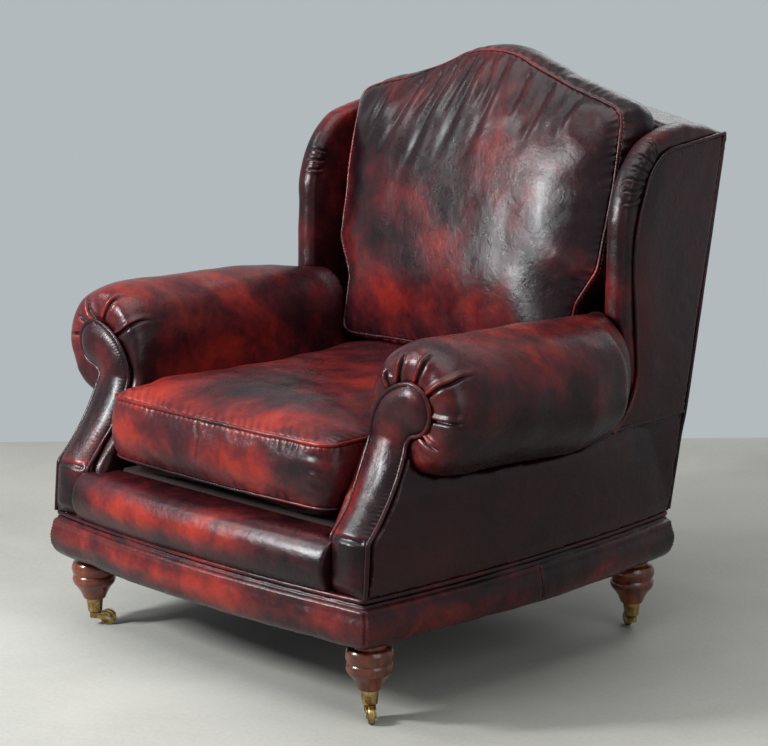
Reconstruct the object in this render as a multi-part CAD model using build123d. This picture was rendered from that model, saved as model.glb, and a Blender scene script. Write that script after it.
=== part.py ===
"""Leather wing armchair with rolled arms: hardwood frame, upholstery, loose cushions, legs on castors.

Millimetres. X runs to the right of someone who looks at the chair, the chair faces -Y, and Z is up
from the floor. The origin is on the floor, below the middle of the chair's box.
"""
import math
import os

from build123d import *

# Seat base, measured where the welt runs round it
base_width = 800.0
base_depth = 766.0
base_bow = 25.0
base_bottom_z = 135.0
band_height = 76.5
band_pad = 15.0
band_swell = 8.0
welt_dia = 7.0

# Hardwood rails and blocks
rail_thickness = 20.0
rail_height = 95.0
rail_lift = 3.0
block_leg = 75.0
block_height = 60.0

# Back: everything in it follows one raked line behind the base
rake_angle = 12.3
outside_panel_thickness = 8.0
upright_depth = 45.0
upright_width = 32.0
back_pad_thickness = 40.0
crest_top_z = 940.0
crest_rise = 34.0
crest_shoulder_inset = 100.0
crest_rail_height = 90.0
crest_rail_depth = 30.0
crest_inset = 12.0
crest_padding = 6.0
lower_rail_z = 330.0
lower_rail_height = 70.0
back_seam_z = 396.0

# Arms
arm_inset = 108.5
arm_overhang = 103.0
arm_top_z = 617.0
arm_roll_bottom_z = 378.0
arm_rear_inset = 138.0
arm_wall = 62.0
arm_rail_width = 56.0
arm_rail_height = 28.0
facing_width = 84.0
facing_height = 334.0
facing_sweep = 107.0
facing_pad = 12.0
post_thickness = 28.0
post_inset = 9.0
facing_welt = 5.0
side_panel_thickness = 12.0
side_panel_tuck = 8.0
side_panel_rise = 36.0

# Wings
wing_drop = 52.0
wing_splay_angle = 3.6
wing_inset = 178.0
wing_depth = 327.0
wing_thickness = 46.0
wing_round = 14.0
wing_panel_thickness = 10.0
wing_board_thickness = 18.0
wing_board_inset = 9.0
wing_welt = 5.0

# Seat inside the arms
deck_top_z = 306.0
spring_clip_height = 8.0
spring_clip_length = 18.0
lip_swell = 15.0
lip_depth = 62.0
lip_top_z = 304.0
spring_count = 5
spring_turns = 9
spring_wire = 3.6
spring_swing = 22.0
webbing_width = 50.0
webbing_thickness = 2.0
webbing_columns = 4
webbing_rows = 4
dust_cover_thickness = 1.6

# Seat cushion
soft_gap = 1.5
seat_cushion_front = 28.0
seat_cushion_height = 172.0
rest_gap = 0.3
seat_corner = 34.0
seat_front_bow = 7.0
seat_draw_in = 4.0
cushion_welt = 6.0

# Back cushion
back_cushion_foot_z = 449.0
back_cushion_rise = 80.0
back_cushion_inset = 63.0
back_cushion_depth = 152.0

# Legs and castors
leg_inset_x = 40.0
leg_inset_y = 51.0
leg_ring_radius = 40.3
leg_toe_z = 51.5
leg_toe_radius = 20.8
leg_bolt_dia = 8.0
leg_bolt_length = 92.0
leg_bolt_grip = 45.0
cup_top_radius = 15.5
cup_foot_radius = 13.0
cup_wall = 1.6
cup_foot_z = 24.0
pivot_dia = 6.0
pivot_head_dia = 9.0
pivot_head_height = 1.6
wheel_dia = 29.0
wheel_width = 10.4
wheel_round = 2.4
wheel_dish = 1.4
castor_trail = 24.0
boss_radius = 10.0
boss_height = 9.6
cheek_thickness = 2.6
cheek_radius = 6.2
cheek_gap = 0.5
axle_dia = 4.0
axle_head_dia = 6.0
axle_head_height = 0.9
running_fit = 0.05
swivel_gap = 0.3
castor_angles = {"front_left": 45.0, "front_right": -40.0, "rear_left": 100.0, "rear_right": 145.0}

# Clearances and cuts
seat_clearance = 0.1
overrun = 10.0

# Derived places
half_width = base_width / 2
piece_margin = base_width + base_depth
crest_shoulder_z = crest_top_z - crest_rise
crest_shoulder_x = half_width - crest_shoulder_inset
arm_inner_x = half_width - arm_inset
arm_outer_x = half_width + arm_overhang
arm_rear = base_depth - arm_rear_inset
wing_top_z = crest_top_z - wing_drop
back_cushion_height = crest_top_z + back_cushion_rise - back_cushion_foot_z
back_cushion_half_width = half_width - back_cushion_inset
rake = math.tan(math.radians(rake_angle))
front_reach = base_bow + band_swell
back_reach = (crest_top_z - base_bottom_z - band_height) * rake
overall_depth = front_reach + base_depth + back_reach
front_y = front_reach - overall_depth / 2
back_y = front_y + base_depth
mid_y = (front_y + back_y) / 2
band_top_z = base_bottom_z + band_height
panel_z = band_top_z + welt_dia
rail_z = base_bottom_z + rail_lift
frame_x = half_width - band_pad
frame_front_y = front_y + band_pad
frame_back_y = back_y - band_pad
leg_x = half_width - leg_inset_x
leg_front_y = front_y + leg_inset_y
leg_rear_y = back_y - leg_inset_y
arm_rail_top_z = (arm_top_z + arm_roll_bottom_z) / 2 - arm_rail_height
arm_rail_x = (arm_inner_x + arm_outer_x) / 2 - arm_rail_width
frame_rear = outside_panel_thickness + upright_depth
back_pad_rear = frame_rear + 2 * webbing_thickness
back_pad_front = back_pad_rear + back_pad_thickness
rail_top_z = rail_z + rail_height
deck_bottom_z = rail_top_z + spring_clip_height
wing_board_x = half_width - wing_panel_thickness - wing_board_thickness
wing_height = wing_top_z - back_seam_z
castor_top_z = cup_foot_z - swivel_gap
axle_z = wheel_dia / 2

parts = {}


def back_line(z):
    """Y of the back's outer face at height z."""
    return back_y + (z - band_top_z) * rake


def prism_x(outline, x0, x1):
    """Extrude a YZ outline, a list of edges, from x0 to x1."""
    face = Plane.YZ.offset(x0) * make_face(outline)
    return extrude(face, amount=x1 - x0, dir=(1, 0, 0))


def prism_y(outline, y0, y1):
    """Extrude an XZ outline, a list of edges, from y0 to y1."""
    plane = Plane(origin=(0, y0, 0), x_dir=(1, 0, 0), z_dir=(0, -1, 0))
    return extrude(plane * make_face(outline), amount=y1 - y0, dir=(0, 1, 0))


def polygon(points):
    """A closed outline of straight edges."""
    return list(Polyline(points, close=True).edges())


def block(x0, x1, y0, y1, z0, z1):
    """A box between two opposite corners."""
    centre = ((x0 + x1) / 2, (y0 + y1) / 2, (z0 + z1) / 2)
    return Pos(*centre) * Box(x1 - x0, y1 - y0, z1 - z0)


def raked(x0, x1, near, far, z0, z1):
    """A board in the back between two distances in front of its outer face."""
    points = [
        (back_line(z0) - far, z0),
        (back_line(z0) - near, z0),
        (back_line(z1) - near, z1),
        (back_line(z1) - far, z1),
    ]
    return prism_x(polygon(points), x0, x1)


def largest(shape):
    """The main solid of a shape, without the slivers that a cut leaves."""
    return max(shape.solids(), key=lambda solid: solid.volume)


def without(shape, *cutters):
    """A shape with others cut out of it, kept as its main solid."""
    for cutter in cutters:
        shape = shape - cutter
    return largest(shape)


def mirrored(shape):
    """The same piece on the other side of the chair."""
    return mirror(shape, about=Plane.YZ)


def add_pair(name, shape):
    """A piece on the right and its mirror image on the left."""
    parts[name + "_right"] = shape
    parts[name + "_left"] = mirrored(shape)


def group(shapes):
    """Several separate solids that share one node."""
    return Compound(children=[solid for shape in shapes for solid in shape.solids()])


def base_outline(grow, z):
    """Plan of the base at height z: the front and sides bow out, the back is straight."""
    x = half_width + grow
    y0 = front_y - grow
    y1 = back_y + grow
    edges = [
        ThreePointArc((-x, y0), (0, y0 - base_bow), (x, y0)),
        ThreePointArc((x, y0), (x + base_bow, mid_y), (x, y1)),
        Line((x, y1), (-x, y1)),
        ThreePointArc((-x, y1), (-x - base_bow, mid_y), (-x, y0)),
    ]
    return Plane.XY.offset(z) * make_face(edges)


def add_rails():
    """Four seat rails and the glued blocks in their corners."""
    plate = extrude(base_outline(-band_pad, rail_z), rail_height)
    inner_x = frame_x - rail_thickness
    front_in = frame_front_y + rail_thickness
    back_in = frame_back_y - rail_thickness
    top = rail_z + rail_height
    wide = half_width + base_bow
    parts["front_rail"] = largest(plate & block(-wide, wide, front_y - wide, front_in, rail_z, top))
    parts["back_rail"] = largest(plate & block(-wide, wide, back_in, back_y, rail_z, top))
    add_pair("side_rail", largest(plate & block(inner_x, wide, front_in, back_in, rail_z, top)))
    blocks = []
    for side in (-1, 1):
        for y, way in ((front_in, 1), (back_in, -1)):
            corner = (side * inner_x, y)
            points = [corner, (side * (inner_x - block_leg), y), (side * inner_x, y + way * block_leg)]
            face = Plane.XY.offset(rail_z) * make_face(polygon(points))
            bolt_y = leg_front_y if way > 0 else leg_rear_y
            bolt = Pos(side * leg_x, bolt_y, rail_z) * Cylinder(leg_bolt_dia / 2, rail_height * 2)
            blocks.append(extrude(face, amount=block_height) - bolt)
    parts["corner_blocks"] = group(blocks)


# Swell of the band: height, and how far it stands out against its fullest place
band_levels_share = [(0.0, -0.5), (0.22, 0.7), (0.5, 1.0), (0.8, 0.7), (1.0, 0.0)]
wedge_share = 1.3


def add_band():
    """Padded leather band round the base, one panel a side, with a welt along its top."""
    rings = []
    for up, out in band_levels_share:
        rings.append(base_outline(out * band_swell, base_bottom_z + up * band_height))
    core = extrude(base_outline(-band_pad, base_bottom_z - overrun), band_height + 2 * overrun)
    ring = loft(rings, ruled=True) - core
    x = half_width * wedge_share
    y0 = mid_y - base_depth / 2 * wedge_share
    y1 = mid_y + base_depth / 2 * wedge_share
    wedges = {
        "band_front": [(0, mid_y), (-x, y0), (x, y0)],
        "band_back": [(0, mid_y), (x, y1), (-x, y1)],
        "band_right": [(0, mid_y), (x, y0), (x, y1)],
        "band_left": [(0, mid_y), (-x, y1), (-x, y0)],
    }
    for name, points in wedges.items():
        face = Plane.XY.offset(base_bottom_z) * make_face(polygon(points))
        parts[name] = largest(ring & extrude(face, amount=band_height))
    outer = extrude(base_outline(0, band_top_z), welt_dia)
    inner = extrude(base_outline(-welt_dia, band_top_z - overrun), welt_dia + 2 * overrun)
    parts["band_welt"] = largest(outer - inner)


# Corners and bulges of the facing: across, up, and the way that each moves when it grows
facing_outline_share = {
    "foot_inner": (0.0, 0.0, -1.0, 0.0),
    "foot_outer": (1.0, 0.0, 1.0, 0.0),
    "fold_outer": (0.98, 0.27, 1.0, 0.0),
    "neck_outer": (0.905, 0.67, 1.0, 0.0),
    "throat": (0.95, 0.735, 0.8, -0.6),
    "ear_start": (1.09, 0.755, 0.25, -1.0),
    "ear_side": (1.52, 0.885, 1.0, 0.0),
    "crown": (1.0, 1.0, 0.0, 1.0),
    "brow": (0.34, 0.925, -0.6, 0.8),
    "shoulder_inner": (-0.02, 0.75, -1.0, 0.1),
    "waist_inner": (-0.05, 0.60, -1.0, 0.0),
    "hip_inner": (0.04, 0.39, -1.0, 0.0),
}
facing_profile_share = {
    "fold": (0.075, 0.27),
    "bend": (0.60, 0.475),
    "neck": (0.97, 0.72),
    "top": (0.94, 1.0),
}


def facing_outline(grow):
    """Front view of the arm's facing: a stump that ends in a scroll turned outwards."""
    def at(name):
        across, up, way_x, way_z = facing_outline_share[name]
        x = half_width - facing_width + across * facing_width + way_x * grow
        return (x, panel_z + up * facing_height + way_z * grow)

    return [
        Line(at("foot_inner"), at("foot_outer")),
        Line(at("foot_outer"), at("fold_outer")),
        Line(at("fold_outer"), at("neck_outer")),
        ThreePointArc(at("neck_outer"), at("throat"), at("ear_start")),
        ThreePointArc(at("ear_start"), at("ear_side"), at("crown")),
        ThreePointArc(at("crown"), at("brow"), at("shoulder_inner")),
        ThreePointArc(at("shoulder_inner"), at("waist_inner"), at("hip_inner")),
        Line(at("hip_inner"), at("foot_inner")),
    ]


def facing_layer(near, far, z_top=None):
    """The layer between two depths behind the facing's leaning front, as wide as the chair."""
    def at(name, depth):
        back, up = facing_profile_share[name]
        return (front_y + back * facing_sweep + depth, panel_z + up * facing_height)

    foot = panel_z - overrun
    head = panel_z + facing_height + overrun if z_top is None else z_top
    head_near = at("top", near)[0]
    head_far = at("top", far)[0]
    edges = [
        Line((front_y + near, foot), at("fold", near)),
        ThreePointArc(at("fold", near), at("bend", near), at("neck", near)),
        Line(at("neck", near), (head_near, head)),
        Line((head_near, head), (head_far, head)),
        Line((head_far, head), at("neck", far)),
        ThreePointArc(at("neck", far), at("bend", far), at("fold", far)),
        Line(at("fold", far), (front_y + far, foot)),
        Line((front_y + far, foot), (front_y + near, foot)),
    ]
    return prism_x(edges, 0, arm_outer_x + overrun)


def facing_column(grow):
    """The facing's front outline, grown or shrunk, run back through the arm."""
    return prism_y(facing_outline(grow), front_y - overrun, mid_y)


def oval(x0, x1, z0, z1, y):
    """An upright oval at depth y, in four arcs."""
    cx = (x0 + x1) / 2
    cz = (z0 + z1) / 2
    rx = (x1 - x0) / 2 * math.sqrt(0.5)
    rz = (z1 - z0) / 2 * math.sqrt(0.5)
    edges = [
        ThreePointArc((x1, cz), (cx + rx, cz + rz), (cx, z1)),
        ThreePointArc((cx, z1), (cx - rx, cz + rz), (x0, cz)),
        ThreePointArc((x0, cz), (cx - rx, cz - rz), (cx, z0)),
        ThreePointArc((cx, z0), (cx + rx, cz - rz), (x1, cz)),
    ]
    plane = Plane(origin=(0, y, 0), x_dir=(1, 0, 0), z_dir=(0, -1, 0))
    return plane * make_face(edges)


# Places along the roll: how far back, then its inner, outer, lower and upper edge
roll_share = [
    (0.00, 0.060, 0.93, 0.185, 0.88),
    (0.03, 0.020, 0.98, 0.115, 0.96),
    (0.09, 0.0, 1.0, 0.07, 0.995),
    (0.18, 0.0, 1.0, 0.045, 1.0),
    (0.40, 0.0, 1.0, 0.02, 1.0),
    (0.65, 0.0, 1.0, 0.0, 0.98),
    (0.82, 0.0, 0.95, 0.02, 0.955),
    (0.93, 0.0, 0.76, 0.12, 0.93),
    (1.00, 0.0, 0.50, 0.40, 0.92),
]


def arm_roll():
    """The fat roll on top of the arm, narrow at the scroll and rounded off at the wing."""
    width = arm_outer_x - arm_inner_x
    height = arm_top_z - arm_roll_bottom_z
    start = front_y + facing_sweep
    length = arm_rear - facing_sweep
    sections = []
    for back, inner, outer, low, high in roll_share:
        x0 = arm_inner_x + inner * width
        x1 = arm_inner_x + outer * width
        z0 = arm_roll_bottom_z + low * height
        z1 = arm_roll_bottom_z + high * height
        sections.append(oval(x0, x1, z0, z1, start + back * length))
    return loft(sections, ruled=True)


def add_arms():
    """Posts, rails, padded rolls, scroll facings, their welts and the outside panels."""
    frame_depth = facing_pad + post_thickness
    post = facing_column(-post_inset) & facing_layer(facing_pad, frame_depth)
    post = largest(post & block(0, half_width, front_y, back_y, rail_z + rail_height, crest_top_z))
    rail_front = front_y + facing_sweep + facing_pad + post_thickness / 2
    arm_rail = block(
        arm_rail_x,
        arm_rail_x + arm_rail_width,
        rail_front,
        piece_margin,
        arm_rail_top_z - arm_rail_height,
        arm_rail_top_z,
    )
    before_back = raked(0, piece_margin, frame_rear, base_depth, panel_z, wing_top_z)
    arm_rail = largest(arm_rail & before_back)
    post = without(post, arm_rail)
    facing = without(facing_column(0) & facing_layer(0, facing_pad), parts["front_rail"])
    welt_ring = facing_column(facing_welt) - facing_column(0)
    welt_ring = welt_ring & facing_layer(-facing_welt / 2, facing_welt * 1.5)
    above = block(0, arm_outer_x, front_y - overrun, back_y, panel_z, crest_top_z)
    welt_ring = without(welt_ring & above, parts["front_rail"])

    behind = facing_layer(facing_welt * 1.5, base_depth + base_depth, arm_top_z + overrun)
    wall_top = (arm_top_z + arm_roll_bottom_z) / 2
    wall = block(arm_inner_x, arm_inner_x + arm_wall, front_y, piece_margin, panel_z, wall_top)
    wall = wall & raked(0, piece_margin, back_pad_front, base_depth, panel_z, wing_top_z)
    pad = (arm_roll() + wall) & behind
    front = facing_column(0) & facing_layer(-overrun, facing_pad)
    cutters = [front, post, arm_rail]
    cutters.append(parts["side_rail_right"])
    cutters.append(parts["front_rail"])
    pad = without(pad, *cutters)

    panel_x = half_width - side_panel_thickness
    skirt = loft([base_outline(0, panel_z), base_outline(-side_panel_tuck, back_seam_z)], ruled=True)
    skirt = skirt & block(panel_x, piece_margin, front_y, piece_margin, panel_z, back_seam_z)
    skirt = skirt + block(panel_x, half_width, mid_y, piece_margin, panel_z, back_seam_z)
    region = raked(0, piece_margin, outside_panel_thickness, base_depth, panel_z, back_seam_z)
    rise_z = back_seam_z + side_panel_rise
    upper_edge = [base_outline(-side_panel_tuck, z) for z in (back_seam_z, rise_z)]
    riser = loft(upper_edge, ruled=True)
    riser = riser & block(panel_x, piece_margin, front_y, mid_y, back_seam_z, rise_z)
    skirt = ((skirt & region) + riser) & facing_layer(facing_welt * 1.5, base_depth, arm_top_z)
    skirt = without(skirt, front, post, pad, arm_rail, parts["side_rail_right"])
    add_pair("arm_post", post)
    add_pair("arm_rail", arm_rail)
    add_pair("arm_facing", facing)
    add_pair("arm_pad", pad)
    add_pair("outside_arm", skirt)
    parts["facing_welts"] = group([welt_ring, mirrored(welt_ring)])


# The wing's welted edge: back, up, and the way that each point moves when the outline grows
wing_edge_share = {
    "seam": (-0.01, 0.0, -1.0, 0.0),
    "heel": (0.15, 0.085, -0.7, 0.7),
    "hollow": (0.205, 0.213, -1.0, 0.1),
    "over_arm": (0.188, 0.36, -1.0, 0.0),
    "waist": (0.165, 0.514, -1.0, 0.0),
    "rise": (0.18, 0.68, -1.0, 0.0),
    "bend_foot": (0.257, 0.833, -0.9, 0.4),
    "bend": (0.35, 0.925, -0.6, 0.8),
    "bend_head": (0.492, 0.970, -0.2, 1.0),
    "top": (1.0, 1.0, 0.0, 1.0),
    "rear_top": (1.3, 1.0, 0.0, 1.0),
    "rear_foot": (1.3, 0.0, 0.0, 0.0),
}
# The padded front of the wing, which stands ahead of the welt
wing_pad_share = {
    "arm": (0.055, 0.39, -1.0, 0.0),
    "brow": (0.072, 0.675, -1.0, 0.0),
    "bend": (0.145, 0.885, -0.9, 0.4),
    "shoulder": (0.315, 1.005, -0.3, 0.95),
    "crown": (0.62, 1.053, 0.0, 1.0),
    "rear_top": (1.05, 0.99, 0.0, 1.0),
    "rear_foot": (1.05, 0.0, 0.0, 0.0),
    "foot": (0.25, 0.0, 0.0, 0.0),
}
# The pad's thickness, and how far its edges draw in there against the rounding's radius
wing_round_share = [(0.0, 1.0), (0.09, 0.4), (0.3, 0.0), (0.7, 0.0), (0.91, 0.4), (1.0, 1.0)]


def wing_point(back, up, way_y=0.0, way_z=0.0, grow=0.0):
    """A point of the wing's side view from shares of its depth and height."""
    y = back_y - wing_inset + back * wing_depth + way_y * grow
    return (y, back_seam_z + up * wing_height + way_z * grow)


def wing_column(grow, x0, x1):
    """The welted outline of the wing, grown or shrunk, between two widths."""
    def at(name):
        return wing_point(*wing_edge_share[name], grow)

    edges = [
        ThreePointArc(at("seam"), at("heel"), at("hollow")),
        ThreePointArc(at("hollow"), at("over_arm"), at("waist")),
        ThreePointArc(at("waist"), at("rise"), at("bend_foot")),
        ThreePointArc(at("bend_foot"), at("bend"), at("bend_head")),
        Line(at("bend_head"), at("top")),
        Line(at("top"), at("rear_top")),
        Line(at("rear_top"), at("rear_foot")),
        Line(at("rear_foot"), at("seam")),
    ]
    return prism_x(edges, x0, x1)


def splayed(shape):
    """A piece of the right wing, turned outwards about its rear corner."""
    corner_z = (back_seam_z + wing_top_z) / 2
    corner = Axis((half_width, back_line(corner_z), 0), (0, 0, 1))
    return shape.rotate(corner, wing_splay_angle)


def crest_column(grow, foot_z):
    """The back's front view above foot_z: square sides, hollow shoulders and an arched crest."""
    def at(x, z):
        return (x, z + grow)

    shoulder = crest_shoulder_x
    slope_x = (half_width + shoulder) / 2
    slope_z = (wing_top_z + crest_shoulder_z) / 2 - crest_inset / 4
    edges = [
        Line((-half_width, foot_z), (half_width, foot_z)),
        Line((half_width, foot_z), at(half_width, wing_top_z)),
        ThreePointArc(at(half_width, wing_top_z), at(slope_x, slope_z), at(shoulder, crest_shoulder_z)),
        ThreePointArc(at(shoulder, crest_shoulder_z), at(0, crest_top_z), at(-shoulder, crest_shoulder_z)),
        ThreePointArc(at(-shoulder, crest_shoulder_z), at(-slope_x, slope_z), at(-half_width, wing_top_z)),
        Line(at(-half_width, wing_top_z), (-half_width, foot_z)),
    ]
    return prism_y(edges, front_y, back_y + base_depth)


def add_back():
    """Uprights, rails and webbing, the padded inside back and the outside panel."""
    timber = crest_column(-crest_inset, rail_top_z)
    x1 = wing_board_x
    upright = raked(x1 - upright_width, x1, outside_panel_thickness, frame_rear, rail_top_z, crest_top_z)
    upright = largest(upright & timber)
    x = x1 - upright_width
    crest_rail = raked(
        -x,
        x,
        outside_panel_thickness,
        outside_panel_thickness + crest_rail_depth,
        crest_shoulder_z - crest_rail_height,
        crest_top_z,
    )
    parts["crest_rail"] = largest(crest_rail & timber)
    parts["lower_back_rail"] = raked(
        -x,
        x,
        outside_panel_thickness,
        frame_rear,
        lower_rail_z,
        lower_rail_z + lower_rail_height,
    )
    add_pair("back_upright", upright)

    strips = []
    top_z = crest_shoulder_z - crest_inset
    for column in range(webbing_columns):
        centre = x * (2 * (column + 0.5) / webbing_columns - 1)
        strip = raked(
            centre - webbing_width / 2,
            centre + webbing_width / 2,
            frame_rear + webbing_thickness,
            back_pad_rear,
            lower_rail_z,
            top_z,
        )
        strips.append(strip)
    pitch = (top_z - lower_rail_z) / webbing_rows
    for row in range(webbing_rows):
        z = lower_rail_z + (row + 0.5) * pitch
        strip = raked(
            -wing_board_x,
            wing_board_x,
            frame_rear,
            frame_rear + webbing_thickness,
            z - webbing_width / 2,
            z + webbing_width / 2,
        )
        strips.append(strip)
    parts["back_webbing"] = group(strips)

    inside_x = half_width - wing_thickness
    padded = crest_column(crest_padding, deck_bottom_z)
    cover = padded & raked(
        -inside_x,
        inside_x,
        outside_panel_thickness,
        back_pad_front,
        deck_bottom_z,
        crest_top_z + overrun,
    )
    hollow = timber & raked(
        -inside_x - overrun,
        inside_x + overrun,
        -overrun,
        back_pad_rear,
        rail_top_z,
        crest_top_z,
    )
    arms = [parts[f"arm_{kind}_{side}"] for kind in ("pad", "rail") for side in ("right", "left")]
    parts["inside_back"] = without(cover, hollow, upright, mirrored(upright), *arms)
    outside = crest_column(0, panel_z) & raked(
        -half_width,
        half_width,
        0,
        outside_panel_thickness,
        panel_z,
        crest_top_z,
    )
    parts["outside_back"] = largest(outside)


def wing_pad():
    """The wing's padding, with a rounded front and top."""
    sections = []
    for across, drawn_in in wing_round_share:
        inset = -drawn_in * wing_round

        def at(name):
            return wing_point(*wing_pad_share[name], inset)

        outline = [
            Line(at("arm"), at("brow")),
            ThreePointArc(at("brow"), at("bend"), at("shoulder")),
            ThreePointArc(at("shoulder"), at("crown"), at("rear_top")),
            Line(at("rear_top"), at("rear_foot")),
            Line(at("rear_foot"), at("foot")),
            Line(at("foot"), at("arm")),
        ]
        x = half_width - wing_thickness + across * wing_thickness
        sections.append(Plane.YZ.offset(x) * make_face(outline))
    return loft(sections, ruled=True)


def add_wings():
    """Plywood wing boards, their padding, outside panels, and the welts of wings and facings."""
    before_panel = raked(0, piece_margin, outside_panel_thickness, base_depth, panel_z, crest_top_z)
    board = wing_column(-wing_board_inset, wing_board_x, wing_board_x + wing_board_thickness)
    board = splayed(board) & before_panel
    board = board & block(0, piece_margin, front_y, piece_margin, arm_rail_top_z, crest_top_z)
    board = without(board, parts["arm_pad_right"], parts["back_upright_right"])
    panel_x = half_width - wing_panel_thickness
    panel = splayed(wing_column(0, panel_x, half_width)) & before_panel
    panel = without(panel, parts["arm_pad_right"], parts["arm_rail_right"])

    pad = splayed(wing_pad()) & before_panel
    cutters = [board, panel, parts["arm_pad_right"], parts["arm_rail_right"], parts["back_upright_right"]]
    cutters += [parts["inside_back"], parts["back_webbing"]]
    pad = without(pad, *cutters)
    strip_x = half_width - wing_welt / 2
    welt = wing_column(wing_welt / 2, strip_x, half_width + wing_welt / 2)
    welt = welt - wing_column(-wing_welt / 2, strip_x - overrun, half_width + overrun)
    welt = without(splayed(welt) & before_panel, pad, panel, parts["arm_pad_right"])
    add_pair("wing_board", board)
    add_pair("wing_pad", pad)
    add_pair("outside_wing", panel)
    parts["shell_welts"] = group([parts.pop("facing_welts"), welt, mirrored(welt)])


# Side view of the lip: depth behind the base's front edge, and height
lip_share = {
    "foot": (0.0, 0.0),
    "belly": (-1.0, 0.45),
    "brow": (0.12, 0.90),
    "nose": (1.0, 0.98),
    "crest": (2.2, 1.0),
}


def add_seat():
    """The padded lip under the cushion, the springs, the deck and the dust cover."""
    height = lip_top_z - panel_z
    reach = half_width - facing_width + overrun
    columns_share = (-1.0, -0.75, -0.5, -0.25, 0.0, 0.25, 0.5, 0.75, 1.0)
    sections = []
    for share in columns_share:
        x = share * reach
        bow = base_bow * (1 - (x / half_width) ** 2)

        def at(name):
            forward, up = lip_share[name]
            return (front_y - bow + forward * lip_swell, panel_z + up * height)

        back = front_y + lip_depth
        edges = [
            ThreePointArc(at("foot"), at("belly"), at("brow")),
            ThreePointArc(at("brow"), at("nose"), at("crest")),
            Line(at("crest"), (back, lip_top_z)),
            Line((back, lip_top_z), (back, panel_z)),
            Line((back, panel_z), at("foot")),
        ]
        sections.append(Plane.YZ.offset(x) * make_face(edges))
    lip = loft(sections, ruled=True)
    over_rail = block(-reach, reach, frame_front_y, back_y, panel_z, deck_bottom_z)
    cutters = [parts["front_rail"], over_rail]
    for side in ("left", "right"):
        cutters += [parts["arm_facing_" + side], parts["arm_post_" + side], parts["arm_pad_" + side]]
    cutters.append(parts["shell_welts"])
    parts["front_lip"] = without(lip, *cutters)

    span = arm_inner_x * 2
    z = rail_top_z + spring_clip_height / 2
    start_y = frame_front_y + rail_thickness / 2
    end_y = frame_back_y - rail_thickness / 2
    pitch = (end_y - start_y) / spring_turns
    pieces = []
    for number in range(spring_count):
        x = span * ((number + 0.5) / spring_count - 0.5)
        points = []
        for turn in range(spring_turns + 1):
            y = start_y + turn * pitch
            side = spring_swing if turn % 2 else -spring_swing
            points += [(x + side, y, z), (x - side, y, z)] if turn else [(x - side, y, z)]
        path = FilletPolyline(*points, radius=min(pitch, spring_swing) * 0.45)
        profile = Plane(origin=path @ 0, z_dir=path % 0) * Circle(spring_wire / 2)
        wire = sweep(profile, path=path)
        pieces.append(wire)
        last_side = spring_swing if spring_turns % 2 else -spring_swing
        for clip_x, clip_y in ((x + spring_swing / 2, start_y), (x - last_side / 2, end_y)):
            clip = block(
                clip_x - spring_clip_length / 2,
                clip_x + spring_clip_length / 2,
                clip_y - spring_clip_height / 2,
                clip_y + spring_clip_height / 2,
                rail_top_z,
                deck_bottom_z,
            )
            pieces.append(clip - wire)
    parts["seat_springs"] = group(pieces)

    before_back = raked(-half_width, half_width, back_pad_front, base_depth * 2, panel_z, wing_top_z)
    deck = block(
        -arm_inner_x,
        arm_inner_x,
        front_y + lip_depth,
        piece_margin,
        deck_bottom_z,
        deck_top_z,
    )
    parts["seat_deck"] = largest(deck & before_back)

    cover = extrude(base_outline(-band_pad, rail_z - dust_cover_thickness), dust_cover_thickness)
    collar = leg_ring_radius * leg_collar_share + rest_gap
    for x, y in leg_places().values():
        cover = cover - Pos(x, y, rail_z) * Cylinder(collar, rail_height)
    parts["dust_cover"] = largest(cover)


def seat_plan(scale, grow, z):
    """Plan of the seat cushion at one height, about its own middle."""
    x = (arm_inner_x - soft_gap) * scale + grow
    front = front_y + seat_cushion_front
    rear = back_line(deck_top_z) - back_pad_front - soft_gap
    middle = (front + rear) / 2
    depth = (rear - front) / 2 * scale + grow
    y0 = middle - depth
    y1 = middle + depth
    corner = seat_corner * scale
    cut = corner * (1 - math.sqrt(0.5))
    bow = seat_front_bow * scale
    draw = seat_draw_in * scale
    edges = [
        ThreePointArc((-x + corner, y0), (0, y0 - bow), (x - corner, y0)),
        ThreePointArc((x - corner, y0), (x - cut, y0 + cut), (x, y0 + corner)),
        ThreePointArc((x, y0 + corner), (x - draw, middle), (x, y1 - corner)),
        ThreePointArc((x, y1 - corner), (x - cut, y1 - cut), (x - corner, y1)),
        ThreePointArc((x - corner, y1), (0, y1 - draw), (-x + corner, y1)),
        ThreePointArc((-x + corner, y1), (-x + cut, y1 - cut), (-x, y1 - corner)),
        ThreePointArc((-x, y1 - corner), (-x + draw, middle), (-x, y0 + corner)),
        ThreePointArc((-x, y0 + corner), (-x + cut, y0 + cut), (-x + corner, y0)),
    ]
    return Plane.XY.offset(z) * make_face(edges)


# Crown and drawn-in sides of the seat cushion: height, and size against its widest plan
seat_levels_share = [
    (0.0, 0.74),
    (0.05, 0.90),
    (0.16, 0.982),
    (0.34, 1.0),
    (0.58, 1.0),
    (0.80, 0.982),
    (0.87, 0.93),
    (0.94, 0.78),
    (0.985, 0.52),
    (1.0, 0.22),
]
seat_seam_share = ((0.16, 0.982), (0.80, 0.982))


def add_seat_cushion():
    """The loose seat cushion and the two welts round its border."""
    bottom = deck_top_z + rest_gap
    sections = [seat_plan(scale, 0, bottom + up * seat_cushion_height) for up, scale in seat_levels_share]
    cushion = largest(loft(sections, ruled=True))
    welts = []
    for up, scale in seat_seam_share:
        z = bottom + up * seat_cushion_height - cushion_welt / 2
        ring = extrude(seat_plan(scale, cushion_welt / 2, z), cushion_welt)
        welts.append(without(ring, cushion))
    parts["seat_cushion"] = cushion
    parts["seat_cushion_welts"] = group(welts)


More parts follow.
